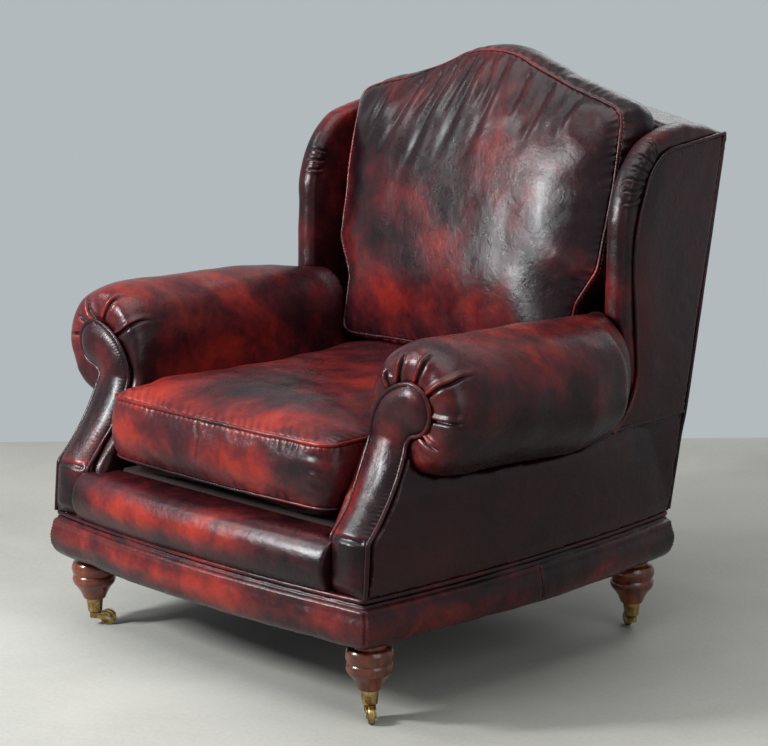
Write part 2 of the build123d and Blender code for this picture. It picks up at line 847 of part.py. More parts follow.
back_cushion_share = {
    "foot": (0.79, 0.0),
    "foot_round": (0.838, 0.012),
    "foot_side": (0.85, 0.05),
    "hip": (0.86, 0.205),
    "flare": (0.98, 0.325),
    "side": (1.0, 0.60),
    "shoulder_foot": (0.99, 0.775),
    "shoulder": (0.965, 0.822),
    "shoulder_head": (0.885, 0.848),
    "slope": (0.60, 0.898),
    "rise": (0.28, 0.965),
}
# Thickness of the back cushion: depth from its rear, size against its widest section, and rise
# of its border above the face
back_levels_share = [
    (0.0, 0.80, 0.0),
    (0.06, 0.93, 0.012),
    (0.20, 0.99, 0.026),
    (0.45, 1.0, 0.030),
    (0.76, 0.985, 0.0),
    (0.85, 0.93, 0.0),
    (0.93, 0.79, 0.0),
    (0.98, 0.55, 0.0),
    (1.0, 0.25, 0.0),
]
back_seam_share = (0.76, 0.985)


def back_cushion_outline(scale, rise, grow, depth):
    """Outline of the back cushion, parallel to the raked back, at one depth in front of it."""
    middle = back_cushion_height / 2

    def at(name, side):
        across, up = back_cushion_share[name]
        x = across * back_cushion_half_width * scale * (1 + rise * up) + grow
        v = (middle + (up * back_cushion_height - middle) * scale) * (1 + rise)
        v += grow if up > 0.5 else 0
        v -= grow if up < 0.04 else 0
        return (side * x, v)

    top = (0, (middle + middle * scale) * (1 + rise) + grow)
    edges = [Line(at("foot", -1), at("foot", 1))]
    for side in (1, -1):
        edges += [
            ThreePointArc(at("foot", side), at("foot_round", side), at("foot_side", side)),
            Line(at("foot_side", side), at("hip", side)),
            Line(at("hip", side), at("flare", side)),
            Line(at("flare", side), at("side", side)),
            Line(at("side", side), at("shoulder_foot", side)),
            ThreePointArc(at("shoulder_foot", side), at("shoulder", side), at("shoulder_head", side)),
            Line(at("shoulder_head", side), at("slope", side)),
            Line(at("slope", side), at("rise", side)),
        ]
    edges.append(ThreePointArc(at("rise", 1), top, at("rise", -1)))
    lean = math.radians(rake_angle)
    normal = (0, -math.cos(lean), math.sin(lean))
    y = back_line(back_cushion_foot_z) - back_pad_front - rest_gap
    plane = Plane(origin=(0, y, back_cushion_foot_z), x_dir=(1, 0, 0), z_dir=normal)
    return plane.offset(depth) * make_face(edges)


def add_back_cushion():
    """The loose back cushion with its arched crest, and the welt round its face."""
    sections = []
    for share, scale, rise in back_levels_share:
        sections.append(back_cushion_outline(scale, rise, 0, share * back_cushion_depth))
    cushion = largest(loft(sections, ruled=True))
    share, scale = back_seam_share
    depth = share * back_cushion_depth - cushion_welt / 2
    ring = extrude(back_cushion_outline(scale, 0, cushion_welt / 2, depth), cushion_welt)
    parts["back_cushion"] = cushion
    parts["back_cushion_welt"] = without(ring, cushion)


leg_collar_share = 0.70
leg_profile_share = {
    "toe": (0.516, 0.025),
    "flare": (0.665, 0.178),
    "bead_foot": (0.888, 0.318),
    "bead": (0.975, 0.43),
    "cove": (0.906, 0.526),
    "ring": (1.0, 0.665),
    "ring_head": (0.906, 0.80),
    "collar_foot": (leg_collar_share, 0.83),
    "collar_head": (leg_collar_share, 1.0),
}


def leg_places():
    """Where the four legs stand."""
    return {
        "front_left": (-leg_x, leg_front_y),
        "front_right": (leg_x, leg_front_y),
        "rear_left": (-leg_x, leg_rear_y),
        "rear_right": (leg_x, leg_rear_y),
    }


def turned(edges):
    """A solid of revolution about Z from an XZ outline."""
    return revolve(Plane.XZ * make_face(edges), axis=Axis.Z)


def turned_leg():
    """A turned leg whose tapered toe fills the castor's cup."""
    height = rail_z - leg_toe_z

    def at(name):
        out, up = leg_profile_share[name]
        return (out * leg_ring_radius, leg_toe_z + up * height)

    toe_foot_z = cup_foot_z + 2 * cup_wall
    toe_top = cup_top_radius - cup_wall - seat_clearance
    toe_foot = cup_foot_radius - cup_wall - seat_clearance
    round_in = leg_toe_radius - cup_wall
    edges = [
        Line((0, toe_foot_z), (toe_foot, toe_foot_z)),
        Line((toe_foot, toe_foot_z), (toe_top, leg_toe_z)),
        Line((toe_top, leg_toe_z), (round_in, leg_toe_z)),
        Line((round_in, leg_toe_z), at("toe")),
        ThreePointArc(at("toe"), at("flare"), at("bead_foot")),
        ThreePointArc(at("bead_foot"), at("bead"), at("cove")),
        ThreePointArc(at("cove"), at("ring"), at("ring_head")),
        Line(at("ring_head"), at("collar_foot")),
        Line(at("collar_foot"), at("collar_head")),
        Line(at("collar_head"), (0, rail_z)),
        Line((0, rail_z), (0, toe_foot_z)),
    ]
    return turned(edges)


def castor_cup():
    """A tapered brass cup with a headed pivot riveted through its floor."""
    floor_z = cup_foot_z + 2 * cup_wall
    pivot_foot_z = castor_top_z - boss_height - swivel_gap
    round_radius = cup_foot_radius - 2 * cup_wall
    edges = [
        Line((0, cup_foot_z), (round_radius, cup_foot_z)),
        Line((round_radius, cup_foot_z), (cup_foot_radius, cup_foot_z + 2 * cup_wall)),
        Line((cup_foot_radius, cup_foot_z + 2 * cup_wall), (cup_top_radius, leg_toe_z)),
        Line((cup_top_radius, leg_toe_z), (cup_top_radius - cup_wall, leg_toe_z)),
        Line((cup_top_radius - cup_wall, leg_toe_z), (cup_foot_radius - cup_wall, floor_z)),
        Line((cup_foot_radius - cup_wall, floor_z), (0, floor_z)),
        Line((0, floor_z), (0, cup_foot_z)),
    ]
    head_foot_z = pivot_foot_z - pivot_head_height
    stem = Pos(0, 0, (cup_foot_z + pivot_foot_z) / 2) * Cylinder(pivot_dia / 2, cup_foot_z - pivot_foot_z)
    head = Pos(0, 0, (pivot_foot_z + head_foot_z) / 2) * Cylinder(pivot_head_dia / 2, pivot_head_height)
    return turned(edges) + stem + head


def castor_horn():
    """The horn: a boss that swivels on the pivot and two cheeks that hold the axle."""
    boss_foot_z = castor_top_z - boss_height
    inner = wheel_width / 2 + cheek_gap
    outer = inner + cheek_thickness
    nose_x = castor_trail + cheek_radius
    brow_x = castor_trail + cheek_radius * 0.72
    brow_z = axle_z + cheek_radius * 0.95
    under_x = castor_trail + cheek_radius * math.sqrt(0.5)
    under_z = axle_z - cheek_radius * math.sqrt(0.5)
    edges = [
        Line((0, castor_top_z), (castor_trail / 2, castor_top_z)),
        ThreePointArc((castor_trail / 2, castor_top_z), (brow_x, brow_z), (nose_x, axle_z)),
        ThreePointArc((nose_x, axle_z), (under_x, under_z), (castor_trail, axle_z - cheek_radius)),
        Line((castor_trail, axle_z - cheek_radius), (0, boss_foot_z)),
        Line((0, boss_foot_z), (0, castor_top_z)),
    ]
    cheeks = prism_y(edges, -outer, outer)
    boss = Pos(0, 0, (boss_foot_z + castor_top_z) / 2) * Cylinder(boss_radius, boss_height)
    horn = boss + cheeks
    across = Rot(90, 0, 0)
    well = Pos(castor_trail, 0, axle_z) * across * Cylinder(wheel_dia / 2 + cheek_gap * 1.6, 2 * inner)
    head_room = Pos(0, 0, boss_foot_z / 2) * Cylinder(pivot_head_dia / 2 + cheek_gap, boss_foot_z)
    bore = Cylinder(pivot_dia / 2 + running_fit, piece_margin)
    axle_bore = Pos(castor_trail, 0, axle_z) * across * Cylinder(axle_dia / 2 + running_fit, piece_margin)
    return without(horn, well, head_room, bore, axle_bore)


def castor_axle():
    """A riveted axle with a low head outside each cheek."""
    across = Pos(castor_trail, 0, axle_z) * Rot(90, 0, 0)
    half = wheel_width / 2 + cheek_gap + cheek_thickness
    pin = across * Cylinder(axle_dia / 2, 2 * half)
    head = Cylinder(axle_head_dia / 2, axle_head_height)
    for side in (-1, 1):
        pin = pin + across * Pos(0, 0, side * (half + axle_head_height / 2)) * head
    return largest(pin)


def castor_wheel():
    """A brass wheel with a rounded tread and dished sides."""
    wheel = fillet(Cylinder(wheel_dia / 2, wheel_width).edges(), wheel_round)
    dish = Cylinder(wheel_dia * 0.36, wheel_dish) - Cylinder(wheel_dia * 0.15, wheel_dish)
    for side in (-1, 1):
        wheel = wheel - Pos(0, 0, side * (wheel_width - wheel_dish) / 2) * dish
    wheel = wheel - Cylinder(axle_dia / 2 + running_fit, wheel_width * 2)
    return Pos(castor_trail, 0, axle_z) * Rot(90, 0, 0) * wheel


def add_legs():
    """Legs, their bolts, and a castor turned its own way under each."""
    leg = turned_leg()
    cup = castor_cup()
    pieces = {"horn": castor_horn(), "axle": castor_axle(), "wheel": castor_wheel()}
    bolt_z = rail_z - leg_bolt_grip + leg_bolt_length / 2
    bolt = Pos(0, 0, bolt_z) * Cylinder(leg_bolt_dia / 2, leg_bolt_length)
    leg = without(leg, bolt)
    bolts = []
    cups = []
    for name, (x, y) in leg_places().items():
        parts["leg_" + name] = Pos(x, y, 0) * leg
        bolts.append(Pos(x, y, 0) * bolt)
        cups.append(Pos(x, y, 0) * cup)
        for kind, piece in pieces.items():
            parts[f"castor_{kind}_{name}"] = Pos(x, y, 0) * Rot(0, 0, castor_angles[name]) * piece
    parts["leg_bolts"] = group(bolts)
    parts["castor_cups"] = group(cups)


if __name__ == "__main__":
    os.makedirs("parts", exist_ok=True)
    add_rails()
    add_band()
    add_arms()
    add_back()
    add_wings()
    add_seat()
    add_seat_cushion()
    add_back_cushion()
    add_legs()
    for name, shape in parts.items():
        export_step(shape, f"parts/{name}.step")
    box = Compound(children=[shape for shape in parts.values()]).bounding_box()
    print(len(parts), "nodes", box.min, box.max)
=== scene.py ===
"""Leather wing armchair with rolled arms: covers, seams, trim and finishes over the frame. Metres."""
import math

import bmesh
import bpy
import numpy as np
from mathutils import Matrix, Vector
from mathutils.bvhtree import BVHTree


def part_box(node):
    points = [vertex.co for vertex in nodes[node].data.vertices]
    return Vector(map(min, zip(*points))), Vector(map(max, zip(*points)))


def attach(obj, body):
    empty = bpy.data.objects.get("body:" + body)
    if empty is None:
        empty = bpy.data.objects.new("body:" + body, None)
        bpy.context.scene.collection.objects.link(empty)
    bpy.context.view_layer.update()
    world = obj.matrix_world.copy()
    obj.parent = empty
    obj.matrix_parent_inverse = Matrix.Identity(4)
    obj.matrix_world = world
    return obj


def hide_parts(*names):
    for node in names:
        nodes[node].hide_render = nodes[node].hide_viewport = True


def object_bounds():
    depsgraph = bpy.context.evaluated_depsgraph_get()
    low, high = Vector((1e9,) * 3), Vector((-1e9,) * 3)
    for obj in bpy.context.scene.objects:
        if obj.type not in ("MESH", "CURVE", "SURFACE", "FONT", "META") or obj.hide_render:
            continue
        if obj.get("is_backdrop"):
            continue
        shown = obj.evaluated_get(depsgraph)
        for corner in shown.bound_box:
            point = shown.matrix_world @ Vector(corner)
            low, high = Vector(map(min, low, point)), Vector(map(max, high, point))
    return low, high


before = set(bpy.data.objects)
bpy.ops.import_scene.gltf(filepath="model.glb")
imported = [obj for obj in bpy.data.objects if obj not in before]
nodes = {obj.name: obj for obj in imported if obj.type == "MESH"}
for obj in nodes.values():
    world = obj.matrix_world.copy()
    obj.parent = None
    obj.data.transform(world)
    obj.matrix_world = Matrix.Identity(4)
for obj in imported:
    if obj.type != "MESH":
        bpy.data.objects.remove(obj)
cad_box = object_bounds()
scene = bpy.context.scene
sides = {"right": 1, "left": -1}

# Driving values, shared with the frame's source
half_width = 0.400
base_depth = 0.766
base_bow = 0.025
welt_dia = 0.007
rake = math.tan(math.radians(12.3))
facing_width = 0.084
facing_height = 0.334
facing_sweep = 0.107
wing_top_z = 0.888
back_seam_z = 0.396
wing_inset = 0.178
wing_depth = 0.327
wing_splay = math.radians(3.6)
seat_corner = 0.034
seat_front_bow = 0.007
seat_draw_in = 0.004
back_cushion_half_width = 0.337
back_cushion_height = 0.571
back_cushion_depth = 0.152

# Places read from the frame
front_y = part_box("arm_facing_right")[0].y
back_y = front_y + base_depth
mid_y = (front_y + back_y) / 2
band_foot_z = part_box("band_front")[0].z
panel_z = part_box("band_welt")[1].z
band_top_z = panel_z - welt_dia
deck_top_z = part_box("seat_deck")[1].z
wing_height = wing_top_z - back_seam_z
seat_lo, seat_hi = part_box("seat_cushion")
seat_height = seat_hi.z - seat_lo.z
back_foot_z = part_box("back_cushion")[0].z
crest_top_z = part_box("outside_back")[1].z

# Where the chair's front stood when the camera and the photograph's places were measured
measured_front_y = -0.4500615
ahead_shift = front_y - measured_front_y

# How far apart the points of a line stand
fine_pitch, line_pitch, fold_pitch = 0.003, 0.004, 0.008


# ---- arrays and curves
def arc(a, b, c, count=24):
    """Points of the arc from a through b to c, without its last point."""
    (ax, ay), (bx, by), (cx, cy) = a, b, c
    d = 2 * (ax * (by - cy) + bx * (cy - ay) + cx * (ay - by))
    if abs(d) < 1e-12:
        t = np.linspace(0, 1, count, endpoint=False)[:, None]
        return np.array(a) * (1 - t) + np.array(c) * t
    sa, sb, sc = ax * ax + ay * ay, bx * bx + by * by, cx * cx + cy * cy
    ux = (sa * (by - cy) + sb * (cy - ay) + sc * (ay - by)) / d
    uy = (sa * (cx - bx) + sb * (ax - cx) + sc * (bx - ax)) / d
    t0, t1, t2 = (math.atan2(q - uy, p - ux) for p, q in (a, b, c))
    turn = (t2 - t0) % (2 * math.pi)
    if (t1 - t0) % (2 * math.pi) > turn:
        turn -= 2 * math.pi
    t = t0 + turn * np.linspace(0, 1, count, endpoint=False)
    r = math.hypot(ax - ux, ay - uy)
    return np.stack([ux + r * np.cos(t), uy + r * np.sin(t)], 1)


def run(*pieces):
    """One outline from arcs, given as three points, and straight lines, given as two."""
    out = []
    for piece in pieces:
        if len(piece) == 3:
            out.append(arc(*piece))
        else:
            t = np.linspace(0, 1, 12, endpoint=False)[:, None]
            out.append(np.array(piece[0]) * (1 - t) + np.array(piece[1]) * t)
    return np.concatenate(out)


def even(points, pitch, closed=False):
    """The same line with its points evenly spaced."""
    p = np.asarray(points, float)
    if closed:
        p = np.vstack([p, p[:1]])
    step = np.linalg.norm(np.diff(p, axis=0), axis=1)
    s = np.concatenate([[0], np.cumsum(step)])
    count = max(int(round(s[-1] / pitch)), 2)
    t = np.linspace(0, s[-1], count + 1)
    q = np.stack([np.interp(t, s, p[:, k]) for k in range(p.shape[1])], 1)
    return q[:-1] if closed else q


def eased(points, times, closed=False):
    """A line smoothed by averaging each point with its neighbours."""
    p = np.asarray(points, float).copy()
    for _ in range(times):
        if closed:
            p = (np.roll(p, 1, 0) + 2 * p + np.roll(p, -1, 0)) / 4
        else:
            p[1:-1] = (p[:-2] + 2 * p[1:-1] + p[2:]) / 4
    return p


def step(x, low, high):
    """0 below low, 1 above high, and smooth between them."""
    t = np.clip((x - low) / (high - low), 0, 1)
    return t * t * (3 - 2 * t)


def noise(p, seed=0):
    """Smooth noise from -1 to 1 at each point."""
    p = np.asarray(p, float)
    cell = np.floor(p).astype(np.int64)
    f = p - cell
    f = f * f * (3 - 2 * f)
    total = np.zeros(len(p))
    for i in (0, 1):
        for j in (0, 1):
            for k in (0, 1):
                h = (cell[:, 0] + i) * 374761393 + (cell[:, 1] + j) * 668265263
                h = h + (cell[:, 2] + k) * 2147483647 + seed * 974634777
                h = (h ^ (h >> 13)) * 1274126177
                h = ((h ^ (h >> 16)) & 0xFFFF) / 32767.5 - 1
                w = (f[:, 0] if i else 1 - f[:, 0]) * (f[:, 1] if j else 1 - f[:, 1])
                total += h * w * (f[:, 2] if k else 1 - f[:, 2])
    return total


def layered(p, seed=0, layers=3):
    """Noise with finer noise on top."""
    return sum(noise(np.asarray(p) * 2**k, seed + k) / 2**k for k in range(layers))


def rippled(co, *waves):
    """A sum of noises, each given as its frequencies, seed, height and, where it isn't 3, number of layers."""
    return sum(layered(co * scale, seed, *layers) * height for scale, seed, height, *layers in waves)


def bell(x, middle, width):
    """1 at the middle, and fading smoothly on both sides."""
    return np.exp(-((x - middle) / width) ** 2)


# ---- meshes
def linked(name, mesh):
    """A new object of the scene with this mesh."""
    obj = bpy.data.objects.new(name, mesh)
    scene.collection.objects.link(obj)
    return obj


def made(name, verts, faces):
    """A new piece from its points and faces."""
    mesh = bpy.data.meshes.new(name)
    mesh.from_pydata([tuple(v) for v in verts], [], [tuple(f) for f in faces])
    mesh.update()
    return linked(name, mesh)


def merged(name, meshes, weld):
    """One piece from several meshes. Where weld is true, points at one place become one."""
    bm = bmesh.new()
    for mesh in meshes:
        bm.from_mesh(mesh)
    if weld:
        bmesh.ops.remove_doubles(bm, verts=bm.verts, dist=1e-5)
    mesh = bpy.data.meshes.new(name)
    bm.to_mesh(mesh)
    bm.free()
    return linked(name, mesh)


def joined(name, objs):
    """One piece that takes the place of several."""
    obj = merged(name, [o.data for o in objs], False)
    for o in objs:
        bpy.data.objects.remove(o)
    return obj


def grid(rows, columns, around=False):
    """Faces between rows of points. Where around is true, each row is a ring."""
    return [(r * columns + c, r * columns + (c + 1) % columns,
             (r + 1) * columns + (c + 1) % columns, (r + 1) * columns + c)
            for r in range(rows - 1) for c in range(columns if around else columns - 1)]


def baked(obj):
    """Gives the object the mesh that its modifiers make, and removes them."""
    graph = bpy.context.evaluated_depsgraph_get()
    graph.update()
    mesh = bpy.data.meshes.new_from_object(obj.evaluated_get(graph))
    obj.modifiers.clear()
    obj.data = mesh
    mesh.name = obj.name
    return obj


def modified(obj, kind, **settings):
    """Adds a modifier with these settings."""
    mod = obj.modifiers.new(kind.lower(), kind)
    for key, value in settings.items():
        setattr(mod, key, value)
    return obj


def finer(obj):
    """Splits every face into four and rounds the mesh."""
    return baked(modified(obj, "SUBSURF", levels=1, render_levels=1))


def cover(name, voxel, ease, *names):
    """An even mesh with the shape of these nodes of the frame, to be worked into a cover."""
    obj = merged(name, [nodes[node].data for node in names], True)
    modified(obj, "REMESH", mode="VOXEL", voxel_size=voxel)
    return baked(modified(obj, "SMOOTH", iterations=ease, factor=0.5))


def triples(items, what):
    """A value of three parts for each item."""
    values = np.zeros(len(items) * 3, np.float32)
    items.foreach_get(what, values)
    return values.reshape(-1, 3).astype(float)


def coords(obj):
    """The place of each vertex."""
    return triples(obj.data.vertices, "co")


def normals(obj):
    """The way that the surface faces at each vertex."""
    return triples(obj.data.vertex_normals, "vector")


def put(obj, co):
    """Moves the vertices to these places."""
    obj.data.vertices.foreach_set("co", np.ascontiguousarray(co, np.float32).ravel())
    obj.data.update()


def raised(obj, height):
    """Moves each vertex outwards by what height gives for the places and normals."""
    co, no = coords(obj), normals(obj)
    put(obj, co + no * height(co, no)[:, None])


def rounded(obj, times, weight):
    """Smooths the mesh where weight, a value for each vertex, is above 0."""
    ends = np.zeros(len(obj.data.edges) * 2, np.int32)
    obj.data.edges.foreach_get("vertices", ends)
    a, b = ends.reshape(-1, 2).T
    co = coords(obj)
    near = np.bincount(a, minlength=len(co)) + np.bincount(b, minlength=len(co))
    for _ in range(times):
        mean = np.stack([np.bincount(a, co[b, k], len(co)) + np.bincount(b, co[a, k], len(co))
                         for k in range(3)], 1)
        co += (mean / np.maximum(near, 1)[:, None] - co) * weight[:, None]
    put(obj, co)


def tree(obj):
    """The surface as it stands, for finding places on it."""
    graph = bpy.context.evaluated_depsgraph_get()
    graph.update()
    return BVHTree.FromObject(obj, graph)


def snapped(points, surface, lift=0.0):
    """The nearest places on a surface, raised by lift."""
    out = []
    for p in points:
        at, normal, _, _ = surface.find_nearest(Vector(p))
        out.append(np.array(at + normal * lift))
    return np.array(out)


def circle(side, up, around):
    """Points round a circle of radius 1 that side and up span."""
    turn = np.linspace(0, 2 * np.pi, around, endpoint=False)[:, None]
    return np.cos(turn) * side + np.sin(turn) * up


def tube(name, path, radius, closed, around):
    """A cord of round section along a line."""
    p = np.asarray(path, float)
    along = np.roll(p, -1, 0) - np.roll(p, 1, 0) if closed else np.gradient(p, axis=0)
    along /= np.linalg.norm(along, axis=1)[:, None]
    side = np.cross(along[0], (0.3, 0.2, 1.0))
    radii = np.broadcast_to(radius, len(p))
    verts = []
    for i, d in enumerate(along):
        side = side - d * (side @ d)
        side /= np.linalg.norm(side)
        verts.append(p[i] + radii[i] * circle(side, np.cross(d, side), around))
    faces = grid(len(p), around, True)
    last = (len(p) - 1) * around
    if closed:
        shift = int(np.argmin(np.linalg.norm(verts[0] - verts[-1][0], axis=1)))
        faces += [(last + k, last + (k + 1) % around, (k + 1 + shift) % around, (k + shift) % around)
                  for k in range(around)]
    else:
        faces += [tuple(range(around))[::-1], tuple(range(last, last + around))]
    return made(name, np.vstack(verts), faces)


def stitches(name, path, pitch, share=0.6, closed=False):
    """Thread stitches, one short rounded bar each, along a line."""
    radius, around = 0.0006, 6
    shape = ((0.0, 0.15), (0.12, 0.8), (0.5, 1.0), (0.88, 0.8), (1.0, 0.15))
    count = len(shape) * around
    one = grid(len(shape), around, True) + [tuple(range(around))[::-1], tuple(range(count - around, count))]
    p = even(path, pitch, closed)
    q = np.roll(p, -1, 0) if closed else p[1:]
    p = p if closed else p[:-1]
    verts, faces = [], []
    for number, (a, b) in enumerate(zip(p, q)):
        d = (b - a) * share
        unit = d / np.linalg.norm(d)
        side = np.cross(unit, (0.31, 0.17, 0.93))
        side /= np.linalg.norm(side)
        ring = circle(side, np.cross(unit, side), around)
        verts += [a + d * t + radius * r * ring for t, r in shape]
        faces += [tuple(number * count + i for i in face) for face in one]
    return made(name, np.vstack(verts), faces)


def toned(obj, tone):
    """How light the leather is at each vertex, 0 near black and 1 bright red: worn red where high, painted shade in
    creases, grooves and hollows where low, and a few painted highlights.
    """
    count = len(obj.data.vertices)
    data = obj.data.attributes.new("tone", "FLOAT", "POINT")
    data.data.foreach_set("value", np.ascontiguousarray(np.broadcast_to(tone, count), np.float32))


def blobs(co, base, spots):
    """A base tone with soft spots, each a centre, three radii and an amount."""
    tone = np.full(len(co), float(base))
    for centre, size, amount in spots:
        d = np.linalg.norm((co - np.array(centre)) / np.array(size), axis=1)
        tone += amount * np.exp(-d * d)
    return tone


def nearest_on(path, co, reach):
    """For the vertices within reach of a line: their numbers, distance, share along it, nearest point."""
    lo, hi = path.min(0) - reach, path.max(0) + reach
    inside = np.where(np.all((co > lo) & (co < hi), axis=1))[0]
    if not len(inside):
        return inside, np.zeros(0), np.zeros(0), np.zeros((0, 3)), np.zeros((0, 3))
    steps = np.linalg.norm(np.diff(path, axis=0), axis=1)
    s = np.concatenate([[0], np.cumsum(steps)])
    ways = np.diff(path, axis=0) / np.maximum(steps, 1e-9)[:, None]
    nearest = np.concatenate([
        np.argmin((path**2).sum(1) - 2 * co[inside[k:k + 4096]] @ path.T, axis=1)
        for k in range(0, len(inside), 4096)])
    best = np.full(len(inside), 1e9)
    share = np.zeros(len(inside))
    point, along = np.zeros((2, len(inside), 3))
    for shift in (-1, 0):
        i = np.clip(nearest + shift, 0, len(steps) - 1)
        t = np.clip(np.einsum("ij,ij->i", co[inside] - path[i], ways[i]), 0, steps[i])
        q = path[i] + t[:, None] * ways[i]
        d = np.linalg.norm(co[inside] - q, axis=1)
        closer = d < best
        best[closer], share[closer] = d[closer], ((s[i] + t) / s[-1])[closer]
        point[closer], along[closer] = q[closer], ways[i][closer]
    keep = best < reach
    return inside[keep], best[keep], share[keep], point[keep], along[keep]


def sharper(obj, lines, reach=0.012):
    """Splits the faces near these lines, so that a fold can be fine there."""
    co = coords(obj)
    near = np.zeros(len(co), bool)
    for line in lines:
        near[nearest_on(even(line, 0.006), co, reach)[0]] = True
    bm = bmesh.new()
    bm.from_mesh(obj.data)
    edges = [e for e in bm.edges if near[e.verts[0].index] and near[e.verts[1].index]]
    bmesh.ops.subdivide_edges(bm, edges=edges, cuts=1, use_grid_fill=True)
    bm.to_mesh(obj.data)
    bm.free()


def beside(co, no, lines, pitch, reach, width):
    """For each line: the vertices near it, how far across it and past its ends they are, in widths, and their
    share along it."""
    for line in lines:
        index, _, share, point, along = nearest_on(even(line, pitch), co, reach * width)
        if len(index):
            gap = co[index] - point
            across = np.einsum("ij,ij->i", gap, np.cross(along, no[index])) / width
            yield index, across, np.abs(np.einsum("ij,ij->i", gap, along)) / width, share


def tucked(obj, tone, lines, width, depth, lift, mark):
    """Sharp tucks, one side lapped over the other: each line runs from its free end to where it is sewn in."""
    co, no = coords(obj), normals(obj)
    move = np.zeros(len(co))
    for index, u, end, share in beside(co, no, lines, fine_pitch, 6, width):
        grow = step(share, -0.05, 0.5) * np.exp(-end * end)
        lap = bell(u, 0.75, 0.85) + 0.55 * bell(u, -1.6, 1.1)
        slit = bell(u, -0.15, 0.42)
        move[index] += grow * (lift * lap - depth * slit)
        # Worn red along the lapped edge, and painted shade down the slit beneath it
        tone[index] += mark * grow * (bell(u, 0.5, 0.38) * (0.35 + 0.65 * share) - 1.2 * slit)
    put(obj, co + no * move[:, None])


def folded(obj, tone, lines, width, depth, lift, mark):
    """Pleats: each line runs from where the fold dies out to where it is sewn in."""
    co, no = coords(obj), normals(obj)
    move = np.zeros(len(co))
    for index, u, end, share in beside(co, no, lines, line_pitch, 5, width):
        grow = step(share, 0.0, 0.75) * np.exp(-end * end * 0.5)
        move[index] -= depth * grow * np.exp(-u * u * 1.6)
        ridge = np.exp(-((u - 1.5) ** 2) * 0.9) + 0.6 * np.exp(-((u + 1.6) ** 2) * 0.7)
        move[index] += lift * grow * ridge
        # Worn red along the ridge beside the fold, and painted shade down the fold's groove
        tone[index] += mark * grow * (np.exp(-((u - 1.0) ** 2) * 3.5) - 1.3 * np.exp(-u * u * 3.0))
    put(obj, co + no * move[:, None])


def seamed(obj, tone, path, width, depth, mark, closed=True):
    """A sewn groove along a line, with worn, lighter edges and painted shade down the groove."""
    p = np.vstack([path, path[:1]]) if closed else path
    co = coords(obj)
    index, d, _, _, _ = nearest_on(p, co, 4 * width)
    u = d / width
    move = np.zeros(len(co))
    move[index] = -depth * np.exp(-u * u * 1.2)
    # Lighter worn edges beside the seam, and painted shade down the groove itself
    tone[index] += mark * (np.exp(-((u - 1.6) ** 2) * 1.5) - 1.4 * np.exp(-u * u * 2.0))
    put(obj, co + normals(obj) * move[:, None])


def gathered(obj, tone, path, reach, pitch, depth, slant, where, seed, mark):
    """Short gathers that run out from a closed seam. where is the side of it, from the vertex and the seam."""
    co = coords(obj)
    p = np.vstack([path, path[:1]])
    length = np.linalg.norm(np.diff(p, axis=0), axis=1).sum()
    index, d, share, point, _ = nearest_on(p, co, reach)
    keep = where(co[index], point)
    index, d, share = index[keep], d[keep], share[keep]
    s = share * length + slant * d
    zero = np.zeros(len(s))
    size = 0.55 + 0.45 * noise(np.stack([s / (pitch * 3.1), zero, zero + 0.5], 1), seed + 7)
    warp = 0.5 * noise(np.stack([s / (pitch * 2.3), zero, zero], 1), seed)
    wave = np.cos(2 * np.pi * (s / pitch + warp))
    fade = (1 - np.clip(d / (reach * (0.45 + 0.55 * size)), 0, 1)) ** 1.3 * step(d, 0, 0.004)
    groove = np.sign(wave) * np.abs(wave) ** 0.8
    move = np.zeros(len(co))
    move[index] = depth * fade * groove * size
    # Lighter, worn ridges, and painted shade in the hollows between the gathers
    tone[index] += mark * fade * (groove - 0.15)
    put(obj, co + normals(obj) * move[:, None])


# ---- materials
class Nodes:
    """A tree of shader nodes in the making."""

    def __init__(self, owner):
        owner.use_nodes = True
        self.tree = owner.node_tree
        self.tree.nodes.clear()

    def add(self, kind, inputs=(), **settings):
        """A new node with these settings, and with these values or links at its inputs."""
        node = self.tree.nodes.new(kind)
        for key, value in settings.items():
            setattr(node, key, value)
        for key, value in dict(inputs).items():
            self.feed(node.inputs[key], value)
        return node

    def feed(self, socket, value):
        """Links or sets one input."""
        if isinstance(value, bpy.types.NodeSocket):
            self.tree.links.new(value, socket)
        else:
            socket.default_value = value

    def math(self, how, a, b):
        """The result of a sum, a product or the like."""
        return self.add("ShaderNodeMath", {0: a, 1: b}, operation=how).outputs[0]


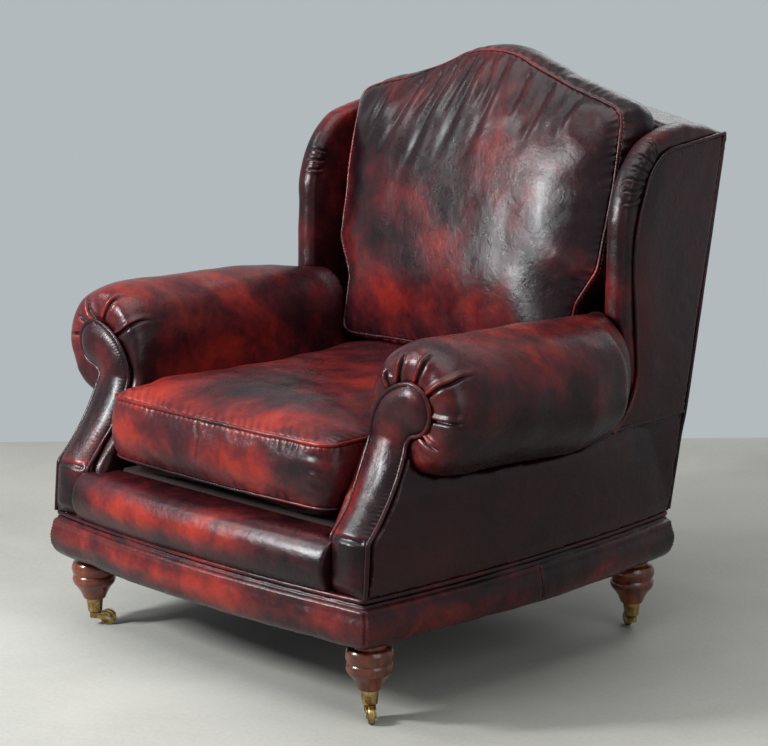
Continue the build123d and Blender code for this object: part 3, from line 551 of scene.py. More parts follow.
class Shade(Nodes):
    """A procedural material in the making."""

    def __init__(self, name):
        self.material = bpy.data.materials.new(name)
        super().__init__(self.material)
        self.bsdf = self.add("ShaderNodeBsdfPrincipled")
        self.add("ShaderNodeOutputMaterial", {"Surface": self.bsdf.outputs[0]})
        self.place = self.add("ShaderNodeTexCoord").outputs["Object"]

    def stretched(self, scale):
        """Places on the piece, stretched along each axis."""
        return self.add("ShaderNodeMapping", {"Vector": self.place, "Scale": scale}).outputs[0]

    def noise(self, scale, detail=3.0, rough=0.5, twist=0.0, at=None):
        """Cloudy noise from 0 to 1."""
        return self.add("ShaderNodeTexNoise", {
            "Vector": at or self.place, "Scale": scale, "Detail": detail, "Roughness": rough, "Distortion": twist,
        }).outputs["Fac"]

    def blend(self, a, share, b, other):
        """The sum of two values, each times its share."""
        return self.math("ADD", self.math("MULTIPLY", a, share), self.math("MULTIPLY", b, other))

    def ramp(self, value, stops):
        """A colour that changes with a value, by these stops."""
        node = self.add("ShaderNodeValToRGB", {0: value})
        marks = node.color_ramp.elements
        while len(marks) < len(stops):
            marks.new(0.5)
        for mark, (at, colour) in zip(marks, stops):
            mark.position = at
            mark.color = (*colour, 1.0)
        return node.outputs["Color"]

    def spread(self, value, low, high, to_low, to_high):
        """A value moved from one range to another."""
        return self.add("ShaderNodeMapRange", {
            "Value": value, "From Min": low, "From Max": high, "To Min": to_low, "To Max": to_high,
        }).outputs["Result"]

    def bump(self, height, distance, strength, after=None):
        """The surface's way to face, after these small heights."""
        inputs = {"Strength": strength, "Distance": distance, "Height": height}
        if after is not None:
            inputs["Normal"] = after
        return self.add("ShaderNodeBump", inputs).outputs["Normal"]

    def finish(self, **values):
        """Sets the surface's own values and returns the material."""
        for key, value in values.items():
            self.feed(self.bsdf.inputs[key.replace("_", " ")], value)
        return self.material


leather_black = (0.0085, 0.0022, 0.0034)
leather_plum = (0.0310, 0.0046, 0.0066)
leather_ox = (0.0940, 0.0088, 0.0094)
leather_red = (0.2550, 0.0190, 0.0100)
leather_rust = (0.4200, 0.0460, 0.0180)


def leather(name, mottle, gloss=0.0):
    """Oxblood leather, worn through to red where the tone is high, and darker where the tone holds painted shade."""
    s = Shade(name)
    clouds = s.noise(5.5, 4.0, 0.55, 0.6)
    marks = s.noise(21.0, 5.0, 0.62, 0.5)
    flecks = s.noise(95.0, 3.0, 0.6, 0.2)
    mix = s.math("ADD", s.blend(clouds, 1.25, marks, 0.60), s.math("MULTIPLY", flecks, 0.16))
    mix = s.math("MULTIPLY", s.math("SUBTRACT", mix, 1.005), mottle)
    mix = s.math("SUBTRACT", mix, 0.095)
    # The tone attribute: worn red patches, painted shade in creases, grooves and hollows, and a few painted
    # highlights
    wear_and_painted_light = s.add("ShaderNodeAttribute", attribute_name="tone").outputs["Fac"]
    colour = s.ramp(s.math("ADD", wear_and_painted_light, mix), [
        (0.0, leather_black), (0.2, leather_plum), (0.40, leather_ox), (0.66, leather_red), (0.95, leather_rust)])
    grain = s.add("ShaderNodeTexVoronoi", {"Vector": s.place, "Scale": 850.0}, feature="F1").outputs["Distance"]
    normal = s.bump(s.noise(34.0, 3.0, 0.55, 0.4), 0.0022, 0.55)
    normal = s.bump(s.noise(160.0, 4.0, 0.65, 0.8), 0.0006, 0.6, normal)
    normal = s.bump(grain, 0.00025, 0.45, normal)
    rough = s.spread(s.noise(48.0, 4.0, 0.6), 0.3, 0.7, 0.235 - gloss, 0.335 - gloss)
    return s.finish(Base_Color=colour, Roughness=rough, Normal=normal, Specular_IOR_Level=0.23,
                    Coat_Weight=0.06, Coat_Roughness=0.18)


def cloth(name, dark, light, pitch):
    """Plain woven cloth: two sets of threads at right angles."""
    s = Shade(name)
    weave = s.math("MAXIMUM", *[
        s.add("ShaderNodeTexWave", {"Vector": s.stretched(scale), "Scale": 0.6 / pitch, "Distortion": 0.6},
              bands_direction="DIAGONAL").outputs["Fac"] for scale in ((1.0, 0.0, 0.0), (0.0, 1.0, 1.0))])
    shade = s.blend(weave, 0.5, s.noise(14.0, 4.0, 0.6), 0.5)
    return s.finish(Base_Color=s.ramp(shade, [(0.25, dark), (0.75, light)]), Roughness=0.9,
                    Normal=s.bump(weave, pitch * 0.4, 0.7))


def wood(name, dark, mid, light, along, rough, coat=0.0):
    """Straight-grained timber with its grain along one axis."""
    s = Shade(name)
    rings, pores = ([across] * 3 for across in (26.0, 420.0))
    rings[along], pores[along] = 2.2, 16.0
    rings = s.noise(1.0, 5.0, 0.6, 1.6, s.stretched(rings))
    pores = s.noise(1.0, 3.0, 0.7, 0.3, s.stretched(pores))
    colour = s.ramp(s.blend(rings, 0.75, pores, 0.25), [(0.34, dark), (0.5, mid), (0.64, light)])
    worn = s.spread(s.noise(30.0, 3.0, 0.5), 0.35, 0.75, rough, rough + 0.1)
    return s.finish(Base_Color=colour, Roughness=worn, Normal=s.bump(pores, 0.0003, 0.5),
                    Coat_Weight=coat, Coat_Roughness=0.12)


def metal(name, dark, mid, light, rough):
    """Metal dulled unevenly by handling, with dark tarnish and small knocks."""
    s = Shade(name)
    spots = s.noise(450.0, 3.0, 0.7)
    shade = s.blend(s.noise(90.0, 5.0, 0.65, 0.5), 0.7, spots, 0.3)
    return s.finish(Base_Color=s.ramp(shade, [(0.36, dark), (0.5, mid), (0.62, light)]), Metallic=1.0,
                    Roughness=s.spread(shade, 0.35, 0.65, rough + 0.18, rough), Normal=s.bump(spots, 0.0002, 0.4))


# Leather for the toned pieces, whose tone carries painted shade and painted highlights besides wear
leather_main = leather("leather_worn_painted_light", 1.0)
leather_plain = leather("leather_plain", 0.30)
leather_welt = leather("leather_welt", 0.8, 0.04)
thread = cloth("thread_red", (0.060, 0.014, 0.010), (0.150, 0.040, 0.026), 0.0004)
pale_thread = cloth("thread_pale", (0.18, 0.11, 0.08), (0.36, 0.25, 0.18), 0.0004)
mahogany = wood("mahogany_polished", (0.046, 0.010, 0.005), (0.125, 0.025, 0.010), (0.200, 0.048, 0.018),
                2, 0.18, 0.15)
beech_x, beech_y, beech_z = (
    wood("beech_" + way, (0.30, 0.19, 0.11), (0.42, 0.28, 0.17), (0.52, 0.37, 0.23), axis, 0.55)
    for axis, way in enumerate(("across", "back", "up")))
plywood = wood("plywood", (0.36, 0.25, 0.15), (0.46, 0.33, 0.21), (0.55, 0.42, 0.28), 2, 0.6)
brass = metal("brass_aged", (0.085, 0.050, 0.018), (0.33, 0.215, 0.085), (0.56, 0.40, 0.18), 0.26)
steel = metal("steel_zinc", (0.16, 0.16, 0.15), (0.36, 0.36, 0.35), (0.52, 0.52, 0.52), 0.34)
webbing = cloth("webbing_jute", (0.24, 0.17, 0.09), (0.44, 0.33, 0.19), 0.0022)
# Near-black lining cloth, darkened to stand in for the shade under the seat cushion's front: painted shade
deck_cloth = cloth("deck_cloth", (0.010, 0.0032, 0.0028), (0.022, 0.0060, 0.0050), 0.0009)
dust_cloth = cloth("dust_cloth", (0.008, 0.008, 0.008), (0.022, 0.021, 0.020), 0.0008)


def dressed(obj, material, body, slot, smooth=True, *replaced):
    """Gives a piece its material and its body, and hides the nodes that it stands for. The slot is not used."""
    obj.data.materials.clear()
    obj.data.materials.append(material)
    if smooth:
        obj.data.polygons.foreach_set("use_smooth", [True] * len(obj.data.polygons))
    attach(obj, body)
    if replaced:
        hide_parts(*replaced)
    return obj


def upholstered(obj, tone, material, body, fill, *replaced):
    """Finishes a leather piece that is padded."""
    toned(obj, tone)
    dressed(obj, material, body, "leather", True, *replaced)


# ---- the camera at the photograph's angle
eye = Vector((3.01736, -2.98938 + ahead_shift, 1.34472))
azimuth, pitch, roll = (math.radians(v) for v in (45.342, -11.736, -0.3215))
ahead = Vector((-math.sin(azimuth) * math.cos(pitch), math.cos(azimuth) * math.cos(pitch), math.sin(pitch)))
right = Vector((math.cos(azimuth), math.sin(azimuth), 0.0))
over = right.cross(ahead)
right, over = right * math.cos(roll) + over * math.sin(roll), over * math.cos(roll) - right * math.sin(roll)
lens = bpy.data.cameras.new("camera")
lens.lens = 112.55
lens.sensor_width = 36.0
lens.sensor_fit = "AUTO"
lens.clip_start, lens.clip_end = 0.05, 50.0
camera = bpy.data.objects.new("camera", lens)
camera.matrix_world = Matrix.Translation(eye) @ Matrix((right, over, -ahead)).transposed().to_4x4()
scene.collection.objects.link(camera)
scene.camera = camera


def seen(surface, points, axis, at):
    """Places on a surface that the photograph shows at these points of an upright plane, seen from its camera."""
    out = []
    for a, b in points:
        aim = Vector((a, at, b)) if axis == "y" else Vector((at, a + ahead_shift, b))
        hit = surface.ray_cast(eye, (aim - eye).normalized())
        if hit[0] is not None:
            out.append(np.array(hit[0]))
    return np.array(out)


def sewn_in(obj, lines, axis, at, reach):
    """Lines of the photograph laid on a cover, whose mesh is made finer beside them."""
    surface = tree(obj)
    lines = [seen(surface, line, axis, at) for line in lines]
    lines = [snapped(even(line, fold_pitch), surface) for line in lines if len(line) > 1]
    sharper(obj, lines, reach)
    return lines


# ---- outlines shared with the frame's source
def traced(at, text):
    """Pieces of an outline. Each names its points: two for a straight line, three for an arc."""
    return [[at(name) for name in piece.split()] for piece in text.split(",")]


facing_share = {
    "foot_inner": (0.0, 0.0, -1.0, 0.0),
    "foot_outer": (1.0, 0.0, 1.0, 0.0),
    "fold_outer": (0.98, 0.27, 1.0, 0.0),
    "neck_outer": (0.905, 0.67, 1.0, 0.0),
    "throat": (0.95, 0.735, 0.8, -0.6),
    "ear_start": (1.09, 0.755, 0.25, -1.0),
    "ear_side": (1.52, 0.885, 1.0, 0.0),
    "crown": (1.0, 1.0, 0.0, 1.0),
    "brow": (0.34, 0.925, -0.6, 0.8),
    "shoulder_inner": (-0.02, 0.75, -1.0, 0.1),
    "waist_inner": (-0.05, 0.60, -1.0, 0.0),
    "hip_inner": (0.04, 0.39, -1.0, 0.0),
}


def facing_outline(grow):
    """The facing's outline seen from the front, from its outer foot round the scroll to its inner foot."""
    def at(name):
        across, up, way_x, way_z = facing_share[name]
        return (half_width - facing_width + across * facing_width + way_x * grow,
                panel_z + up * facing_height + way_z * grow)

    return np.vstack([run(*traced(at, """
        foot_outer fold_outer, fold_outer neck_outer, neck_outer throat ear_start,
        ear_start ear_side crown, crown brow shoulder_inner,
        shoulder_inner waist_inner hip_inner, hip_inner foot_inner""")), [at("foot_inner")]])


profile_points = [(front_y + b * facing_sweep, panel_z + u * facing_height)
                  for b, u in ((0.0, 0.0), (0.075, 0.27), (0.60, 0.475), (0.97, 0.72), (0.94, 1.0))]
fold_z = profile_points[1][1]
profile = np.vstack([profile_points[:1], arc(*profile_points[1:4]), profile_points[3:]])


def facing_front(z):
    """Y of the facing's leaning front at height z."""
    return np.interp(z, profile[:, 1], profile[:, 0])


wing_share = {
    "seam": (-0.01, 0.0, -1.0, 0.0),
    "heel": (0.15, 0.085, -0.7, 0.7),
    "hollow": (0.205, 0.213, -1.0, 0.1),
    "over_arm": (0.188, 0.36, -1.0, 0.0),
    "waist": (0.165, 0.514, -1.0, 0.0),
    "rise": (0.18, 0.68, -1.0, 0.0),
    "bend_foot": (0.257, 0.833, -0.9, 0.4),
    "bend": (0.35, 0.925, -0.6, 0.8),
    "bend_head": (0.492, 0.970, -0.2, 1.0),
    "top": (1.0, 1.0, 0.0, 1.0),
    "rear_top": (1.3, 1.0, 0.0, 1.0),
}


def wing_edge(grow):
    """The wing's welted edge from the side, from the seam over the arm to the back."""
    def at(name):
        back, up, way_y, way_z = wing_share[name]
        return (back_y - wing_inset + back * wing_depth + way_y * grow,
                back_seam_z + up * wing_height + way_z * grow)

    return run(*traced(at, """
        seam heel hollow, hollow over_arm waist, waist rise bend_foot,
        bend_foot bend bend_head, bend_head top, top rear_top"""))


def splayed(points, side, angle=wing_splay):
    """Points of the wing, turned outwards about its rear corner as the wings are."""
    corner = np.array((half_width, back_y + ((back_seam_z + wing_top_z) / 2 - band_top_z) * rake))
    p = np.array(points, float)
    x, y = side * p[:, 0] - corner[0], p[:, 1] - corner[1]
    cos, sin = math.cos(angle), math.sin(angle)
    return np.column_stack([side * (x * cos - y * sin + corner[0]), x * sin + y * cos + corner[1], p[:, 2]])


def unsplayed(points, side):
    """The same points on a wing that stands square."""
    return splayed(points, side, -wing_splay)


def from_line(flat, line):
    """How far each place of a plane is from a line in it."""
    return np.min(np.stack([np.linalg.norm(flat - q, axis=1) for q in line]), axis=0)


def seat_plan(scale):
    """Plan of the seat cushion, as in the frame, anticlockwise from its front left corner."""
    x = seat_hi.x * scale
    middle = (seat_rear + seat_front) / 2
    depth = (seat_rear - seat_front) / 2 * scale
    y0, y1 = middle - depth, middle + depth
    corner = seat_corner * scale
    cut = corner * (1 - math.sqrt(0.5))
    bow = seat_front_bow * scale
    draw = seat_draw_in * scale
    p = [(-x + corner, y0), (0, y0 - bow), (x - corner, y0), (x - cut, y0 + cut),
         (x, y0 + corner), (x - draw, middle), (x, y1 - corner), (x - cut, y1 - cut),
         (x - corner, y1), (0, y1 - draw), (-x + corner, y1), (-x + cut, y1 - cut),
         (-x, y1 - corner), (-x + draw, middle), (-x, y0 + corner), (-x + cut, y0 + cut)]
    return run(*[(p[i], p[i + 1], p[(i + 2) % len(p)]) for i in range(0, len(p), 2)])


seat_front = seat_lo.y + seat_front_bow
seat_rear = seat_hi.y

cushion_share = {
    "foot": (0.79, 0.0),
    "foot_round": (0.838, 0.012),
    "foot_side": (0.85, 0.05),
    "hip": (0.86, 0.205),
    "flare": (0.98, 0.325),
    "side": (1.0, 0.60),
    "shoulder_foot": (0.99, 0.775),
    "shoulder": (0.965, 0.822),
    "shoulder_head": (0.885, 0.848),
    "slope": (0.60, 0.898),
    "rise": (0.28, 0.965),
}
cushion_rear_y = max(v.co.y for v in nodes["back_cushion"].data.vertices if v.co.z < back_foot_z + 0.03)
lean = math.atan(rake)
cushion_up = np.array((0.0, math.sin(lean), math.cos(lean)))
cushion_out = np.array((0.0, -math.cos(lean), math.sin(lean)))
cushion_foot = np.array((0.0, cushion_rear_y, back_foot_z))


def back_outline(scale, depth):
    """Outline of the back cushion in space, parallel to the raked back."""
    middle = back_cushion_height / 2

    def half(side):
        def at(name):
            across, up = cushion_share[name]
            return (side * across * back_cushion_half_width * scale,
                    middle + (up * back_cushion_height - middle) * scale)

        return traced(at, """
            foot foot_round foot_side, foot_side hip, hip flare, flare side, side shoulder_foot,
            shoulder_foot shoulder shoulder_head, shoulder_head slope, slope rise""")

    up_right = half(1)
    down_left = [piece[::-1] for piece in half(-1)[::-1]]
    top = (up_right[-1][1], (0.0, middle + middle * scale), down_left[0][0])
    base = (down_left[-1][-1], up_right[0][0])
    flat = run(*up_right, top, *down_left, base)
    foot = cushion_foot + depth * cushion_out
    return np.stack([flat[:, 0], 0 * flat[:, 0], 0 * flat[:, 0]], 1) + flat[:, 1:2] * cushion_up + foot


# ---- soft pieces
swell_frames = 20


def swollen(obj, inset, cap, pins, pressure):
    """Draws a cover in by inset, then lets air pressure swell it between its pinned seams, by cap at most."""
    put(obj, coords(obj) - normals(obj) * inset)
    before = coords(obj)
    group = obj.vertex_groups.new(name="pins")
    group.add([int(i) for i in np.where(pins)[0]], 1.0, "REPLACE")
    modified(obj, "CLOTH")
    mod = obj.modifiers[-1]
    wanted = {
        "quality": 5, "mass": 0.3, "tension_stiffness": 15.0, "compression_stiffness": 15.0,
        "shear_stiffness": 5.0, "bending_stiffness": 0.6, "use_pressure": True,
        "uniform_pressure_force": pressure, "vertex_group_mass": "pins", "shrink_min": -0.02,
    }
    for key, value in wanted.items():
        setattr(mod.settings, key, value)
    mod.settings.effector_weights.gravity = 0.0
    mod.collision_settings.use_collision = False
    mod.point_cache.frame_start, mod.point_cache.frame_end = 1, swell_frames
    for number in range(1, swell_frames + 1):
        scene.frame_set(number)
    graph = bpy.context.evaluated_depsgraph_get()
    move = triples(obj.evaluated_get(graph).data.vertices, "co") - before
    obj.modifiers.clear()
    obj.vertex_groups.clear()
    scene.frame_set(1)
    size = np.linalg.norm(move, axis=1)
    move *= (cap * np.tanh(size / cap) / np.maximum(size, 1e-9))[:, None]
    put(obj, before + move)
    rounded(obj, 14, np.where(pins, 0.0, 0.5))


def welt(name, loop, radius, body, tone, closed, seed, *replaced):
    """A leather welt: cord in a sewn cover, a little uneven along its length."""
    around, fade = 12, 10
    p = even(loop, line_pitch, closed)
    number = np.arange(len(p))

    def uneven(often, start):
        zero = np.zeros(len(p))
        return noise(np.stack([number * line_pitch * often, zero, zero], 1), start)

    wobble = uneven(30, seed)
    if closed:
        wobble *= np.minimum(1, np.minimum(number, number[::-1]) / fade)
    cord = tube(name, p, radius * (1 + 0.07 * wobble), closed, around)
    toned(cord, np.repeat(uneven(7, seed + 1) * 0.18 + tone, around))
    dressed(cord, leather_welt, body, "leather", True, *replaced)


# The seat cushion. Its two seams stand at these shares of its height
seat_seams = (0.80, 0.16)
seat_seam_scale = 0.982


def seat_held(crown):
    """Keeps the seat's cover off what it touches. Its top may rise by crown."""
    low, high = (seat_lo.x, -np.inf, seat_lo.z), (seat_hi.x, seat_hi.y, seat_hi.z + crown)
    put(seat_cover, np.clip(coords(seat_cover), low, high))


seat_cover = cover("seat_cushion_cover", 0.0055, 4, "seat_cushion")
heights = coords(seat_cover)[:, 2] - seat_lo.z
pins = np.zeros(len(heights), bool)
for up in seat_seams:
    pins |= np.abs(heights - up * seat_height) < 0.003
swollen(seat_cover, 0.0015, 0.011, pins, 3.0)
seat_held(0.006)
finer(seat_cover)
raised(seat_cover, lambda co, no: rippled(co, ((9, 9, 14), 11, 0.0022), ((26, 30, 22), 12, 0.0005, 2)) * (
    step(np.abs(co[:, 0]), seat_hi.x, seat_hi.x - 0.02) * step(co[:, 2], seat_lo.z, seat_lo.z + 0.02)))
# Worn red patches at the front and darker spots towards the front corners; painted shade at the rear of the top,
# where the back cushion stands over it, and along the cushion's foot and underside
tone = blobs(coords(seat_cover), 0.40, [
    ((-0.10, -0.41, 0.460), (0.14, 0.06, 0.025), 0.32),
    ((0.10, -0.40, 0.462), (0.12, 0.06, 0.025), 0.20),
    ((-0.20, -0.43, 0.390), (0.10, 0.05, 0.035), 0.24),
    ((0.03, -0.43, 0.375), (0.12, 0.04, 0.030), 0.22),
    ((0.24, -0.42, 0.400), (0.10, 0.08, 0.080), -0.30),
    ((-0.30, -0.42, 0.400), (0.04, 0.08, 0.080), -0.18),
    ((0.02, -0.26, 0.478), (0.12, 0.09, 0.030), -0.10),
    ((0.02, -0.12, 0.478), (0.20, 0.09, 0.030), 0.18),
    ((0.0, 0.15, 0.47), (0.3, 0.12, 0.06), -0.10),
    ((0.0, -0.2, 0.31), (0.5, 0.5, 0.03), -0.2),
])
surface = tree(seat_cover)
plan = even(seat_plan(seat_seam_scale), line_pitch, True)
top_loop, low_loop = (
    eased(snapped(np.column_stack([plan, np.full(len(plan), seat_lo.z + up * seat_height)]), surface), 3, True)
    for up in seat_seams)
gathered(seat_cover, tone, top_loop, 0.050, 0.019, 0.0017, 0.75,
         lambda p, q: p[:, 2] > q[:, 2] - 0.001, 31, 0.13)
gathered(seat_cover, tone, top_loop, 0.030, 0.013, 0.0013, 0.10,
         lambda p, q: p[:, 2] < q[:, 2] + 0.001, 32, 0.12)
gathered(seat_cover, tone, low_loop, 0.022, 0.024, 0.0010, 0.0, lambda p, q: p[:, 2] > q[:, 2], 33, 0.10)
crease = seen(surface, [(-0.027, 0.438), (-0.023, 0.411), (-0.029, 0.380)], "y", front_y + 0.021)
folded(seat_cover, tone, [crease, crease[::-1]], 0.006, 0.0010, 0.0007, 0.08)
corner = [[(0.292, -0.395, z), (0.284, -0.418, z + 0.002), (0.262, -0.430, z + 0.005)]
          for z in (0.422, 0.398, 0.372)]
folded(seat_cover, tone, corner, 0.009, 0.0016, 0.0010, 0.08)
seamed(seat_cover, tone, top_loop, 0.0035, 0.003, 0.12)
seamed(seat_cover, tone, low_loop, 0.003, 0.0025, 0.10)
seat_held(0.009)
upholstered(seat_cover, tone, leather_main, "seat_cushion", 0.8, "seat_cushion")

outward = np.column_stack([top_loop[:, :2] - (0, mid_y), np.zeros(len(top_loop))])
outward /= np.linalg.norm(outward, axis=1)[:, None]
welt("seat_cushion_welt_top", top_loop + (0, 0, 0.0004), 0.0034, "seat_cushion", 0.46, True, 5,
     "seat_cushion_welts")
welt("seat_cushion_welt_foot", low_loop, 0.0026, "seat_cushion", 0.24, True, 6)
line = snapped(eased(top_loop + outward * 0.001 - (0, 0, 0.0055), 2, True), tree(seat_cover), 0.0002)
dressed(stitches("seat_cushion_stitches", line, 0.0075, closed=True), thread, "seat_cushion", "leather")


# The back cushion, measured outwards and up along the raked back
def back_depth(co):
    """How far each place stands ahead of the back that the cushion leans on."""
    return (co - cushion_foot) @ cushion_out


def back_held():
    """Keeps the back cushion's cover flat where it leans on the back."""
    co = coords(back_cover)
    put(back_cover, co + np.maximum(0.0, -back_depth(co))[:, None] * cushion_out)


seam_depth = 0.76 * back_cushion_depth
back_cover = cover("back_cushion_cover", 0.0055, 4, "back_cushion")
swollen(back_cover, 0.0020, 0.018, np.abs(back_depth(coords(back_cover)) - seam_depth) < 0.003, 2.5)
back_held()
finer(back_cover)
raised(back_cover, lambda co, no: rippled(co, ((7, 7, 5), 21, 0.0030)) * step(back_depth(co), 0.0, 0.03))
surface = tree(back_cover)
# Places of the photograph on the plane of the cushion's face, with a radius and an amount
cushion_plane_y = front_y + 0.55
# Worn red patches and darker spots. The last two, high on the crest, are painted shade over what the lamps light
# there
spots = [
    (-0.031, 0.936, 0.045, 0.04), (0.106, 0.983, 0.045, 0.02), (0.164, 0.879, 0.050, 0.16),
    (-0.093, 0.777, 0.060, 0.20), (-0.188, 0.668, 0.060, 0.26), (0.038, 0.680, 0.060, 0.26),
    (-0.099, 0.543, 0.090, 0.26), (0.331, 0.698, 0.050, 0.16), (0.247, 0.913, 0.050, 0.00),
    (0.100, 0.560, 0.090, 0.16), (-0.001, 0.896, 0.050, -0.12), (-0.051, 0.845, 0.050, -0.14),
    (0.029, 0.744, 0.050, -0.16), (-0.017, 0.642, 0.045, -0.14), (0.383, 0.788, 0.070, -0.22),
    (0.292, 0.984, 0.070, -0.16), (0.250, 0.640, 0.070, -0.10), (0.050, 0.990, 0.090, -0.16),
    (-0.110, 0.930, 0.060, -0.12),
]
wear_and_painted_light = [(centre, (size, 3 * size, size), amount) for x, z, size, amount in spots
          for centre in seen(surface, [(x, z)], "y", cushion_plane_y)]
# The added spot low down is painted shade at the cushion's foot, behind the seat cushion
tone = blobs(coords(back_cover), 0.22, wear_and_painted_light + [((0.0, 0.05, 0.46), (0.4, 0.3, 0.03), -0.15)])
back_loop = eased(snapped(even(back_outline(0.985, seam_depth), line_pitch, True), surface), 3, True)


def crest_fold(x0, x1, drop, bend):
    """A long fold that falls from the crest seam down the cushion's face."""
    t = np.linspace(0, 1, 14)
    start = back_loop[np.argmin(np.abs(back_loop[:, 0] - x0) + 5 * (back_loop[:, 2] < 0.9))]
    x = x0 + (x1 - x0) * t + bend * np.sin(t * np.pi)
    line = np.column_stack([x, np.full(len(t), start[1] - 0.05), start[2] - 0.004 - drop * t])
    return snapped(line, surface)[::-1]


crest_folds = [
    (-0.235, -0.265, 0.13, 0.010), (-0.165, -0.225, 0.19, 0.014), (-0.120, -0.150, 0.11, 0.008),
    (-0.085, -0.160, 0.27, 0.018), (-0.040, -0.070, 0.14, 0.008), (-0.010, -0.070, 0.22, 0.012),
    (0.020, 0.012, 0.12, 0.006), (0.048, 0.010, 0.21, 0.010), (0.105, 0.085, 0.12, 0.004),
    (0.160, 0.130, 0.15, 0.006), (0.225, 0.215, 0.09, -0.004),
]
folded(back_cover, tone, [crest_fold(*f) for f in crest_folds], 0.0120, 0.0038, 0.0022, 0.05)
gathered(back_cover, tone, back_loop, 0.034, 0.017, 0.0012, 0.35,
         lambda p, q: (p - q) @ cushion_out > -0.001, 41, 0.10)
gathered(back_cover, tone, back_loop, 0.050, 0.023, 0.0020, -0.15,
         lambda p, q: (p - q) @ cushion_out < 0.001, 42, 0.14)
seamed(back_cover, tone, back_loop, 0.0035, 0.003, 0.12)
back_held()
upholstered(back_cover, tone, leather_main, "back_cushion", 0.7, "back_cushion")
welt("back_cushion_piping", back_loop, 0.0031, "back_cushion", 0.40, True, 8, "back_cushion_welt")
edge = back_loop[(back_loop[:, 0] > 0.29) & (back_loop[:, 2] > 0.55) & (back_loop[:, 2] < 0.93)]
line = snapped(edge[np.argsort(edge[:, 2])] - cushion_out * 0.006, tree(back_cover), 0.0003)
dressed(stitches("back_cushion_stitches", line, 0.008, 0.62), pale_thread, "back_cushion", "leather")


# ---- arms
# Pleats round each scroll, as the photograph shows them on the facing's plane, from the far end to the seam
scroll_plane_y = front_y + facing_sweep
pleats = {
    "right": [
        [(0.347, 0.570), (0.343, 0.558), (0.350, 0.545)],
        [(0.393, 0.609), (0.383, 0.593), (0.375, 0.571), (0.373, 0.555)],
        [(0.452, 0.612), (0.441, 0.604), (0.425, 0.584), (0.413, 0.560)],
        [(0.544, 0.590), (0.514, 0.581), (0.487, 0.566), (0.464, 0.558), (0.440, 0.541)],
        [(0.523, 0.511), (0.495, 0.504), (0.472, 0.502), (0.447, 0.503)],
        [(0.468, 0.454), (0.448, 0.458), (0.436, 0.463), (0.425, 0.472)],
    ],
    "left": [
        [(-0.495, 0.466), (-0.471, 0.474), (-0.436, 0.488)],
        [(-0.499, 0.521), (-0.479, 0.520), (-0.443, 0.523)],
        [(-0.472, 0.566), (-0.457, 0.557), (-0.430, 0.546)],
        [(-0.400, 0.616), (-0.420, 0.599), (-0.427, 0.580), (-0.422, 0.565), (-0.410, 0.557)],
        [(-0.316, 0.614), (-0.344, 0.602), (-0.365, 0.586), (-0.379, 0.563)],
        [(-0.232, 0.577), (-0.272, 0.570), (-0.306, 0.557), (-0.332, 0.541), (-0.345, 0.530)],
    ],
}
# Worn red patches, and darker spots. On the right arm, the spot at x 0.49 is painted shade on the roll's lower outer
# side, and the one at x 0.29 painted shade low on the inner wall beside the seat cushion
arm_spots = {
    "right": [
        ((0.40, -0.12, 0.62), (0.10, 0.10, 0.05), 0.26),
        ((0.40, 0.06, 0.61), (0.10, 0.08, 0.05), 0.16),
        ((0.47, -0.18, 0.55), (0.06, 0.12, 0.05), 0.14),
        ((0.40, -0.33, 0.60), (0.08, 0.05, 0.05), -0.08),
        ((0.44, -0.34, 0.45), (0.04, 0.03, 0.05), 0.24),
        ((0.30, -0.38, 0.45), (0.03, 0.05, 0.14), 0.20),
        ((0.49, -0.1, 0.44), (0.06, 0.5, 0.09), -0.14),
        ((0.29, 0.0, 0.40), (0.03, 0.4, 0.10), -0.12),
    ],
    "left": [
        ((-0.38, -0.20, 0.61), (0.08, 0.16, 0.05), 0.24),
        ((-0.38, 0.04, 0.61), (0.10, 0.12, 0.05), 0.16),
        ((-0.31, -0.24, 0.54), (0.04, 0.06, 0.05), 0.12),
        ((-0.30, -0.34, 0.48), (0.03, 0.05, 0.08), -0.10),
        ((-0.30, -0.05, 0.46), (0.04, 0.20, 0.08), 0.10),
        ((-0.46, -0.33, 0.50), (0.05, 0.03, 0.06), 0.16),
    ],
}
facing_spots = [
    ((0.365, -0.36, 0.475), (0.035, 0.06, 0.045), 0.34),
    ((0.330, -0.42, 0.36), (0.020, 0.06, 0.080), 0.22),
    ((0.345, -0.45, 0.31), (0.030, 0.05, 0.020), 0.16),
]
facing_line = even(facing_outline(0.0), 0.003)
# Tucks on the front of each wing, on the plane of this x
tuck_plane_x = {"right": 0.400, "left": -0.360}
wing_tucks = {
    "right": [[(0.210, 0.893), (0.262, 0.868)], [(0.197, 0.872), (0.252, 0.850)], [(0.186, 0.851), (0.240, 0.836)],
              [(0.176, 0.830), (0.230, 0.822)], [(0.170, 0.808), (0.222, 0.808)], [(0.167, 0.786), (0.218, 0.793)]],
    "left": [[(0.166, 0.888), (0.212, 0.872)], [(0.156, 0.868), (0.198, 0.855)], [(0.149, 0.848), (0.192, 0.838)],
             [(0.144, 0.828), (0.189, 0.820)], [(0.140, 0.808), (0.184, 0.802)], [(0.138, 0.788), (0.180, 0.786)]],
}
wing_edge_line = even(wing_edge(0.0), line_pitch)
wing_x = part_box("wing_pad_right")[0].x
wrap_start_y, wrap_end_y = 0.120, 0.300
pleats_end_y = scroll_plane_y + 0.15


def sideways(obj, side, move):
    """Moves each vertex outwards on its side of the chair."""
    co = coords(obj)
    co[:, 0] += side * move
    put(obj, co)


def rear_y(z):
    """Y of the outside back's raked face at height z."""
    return back_y + (z - band_top_z) * rake


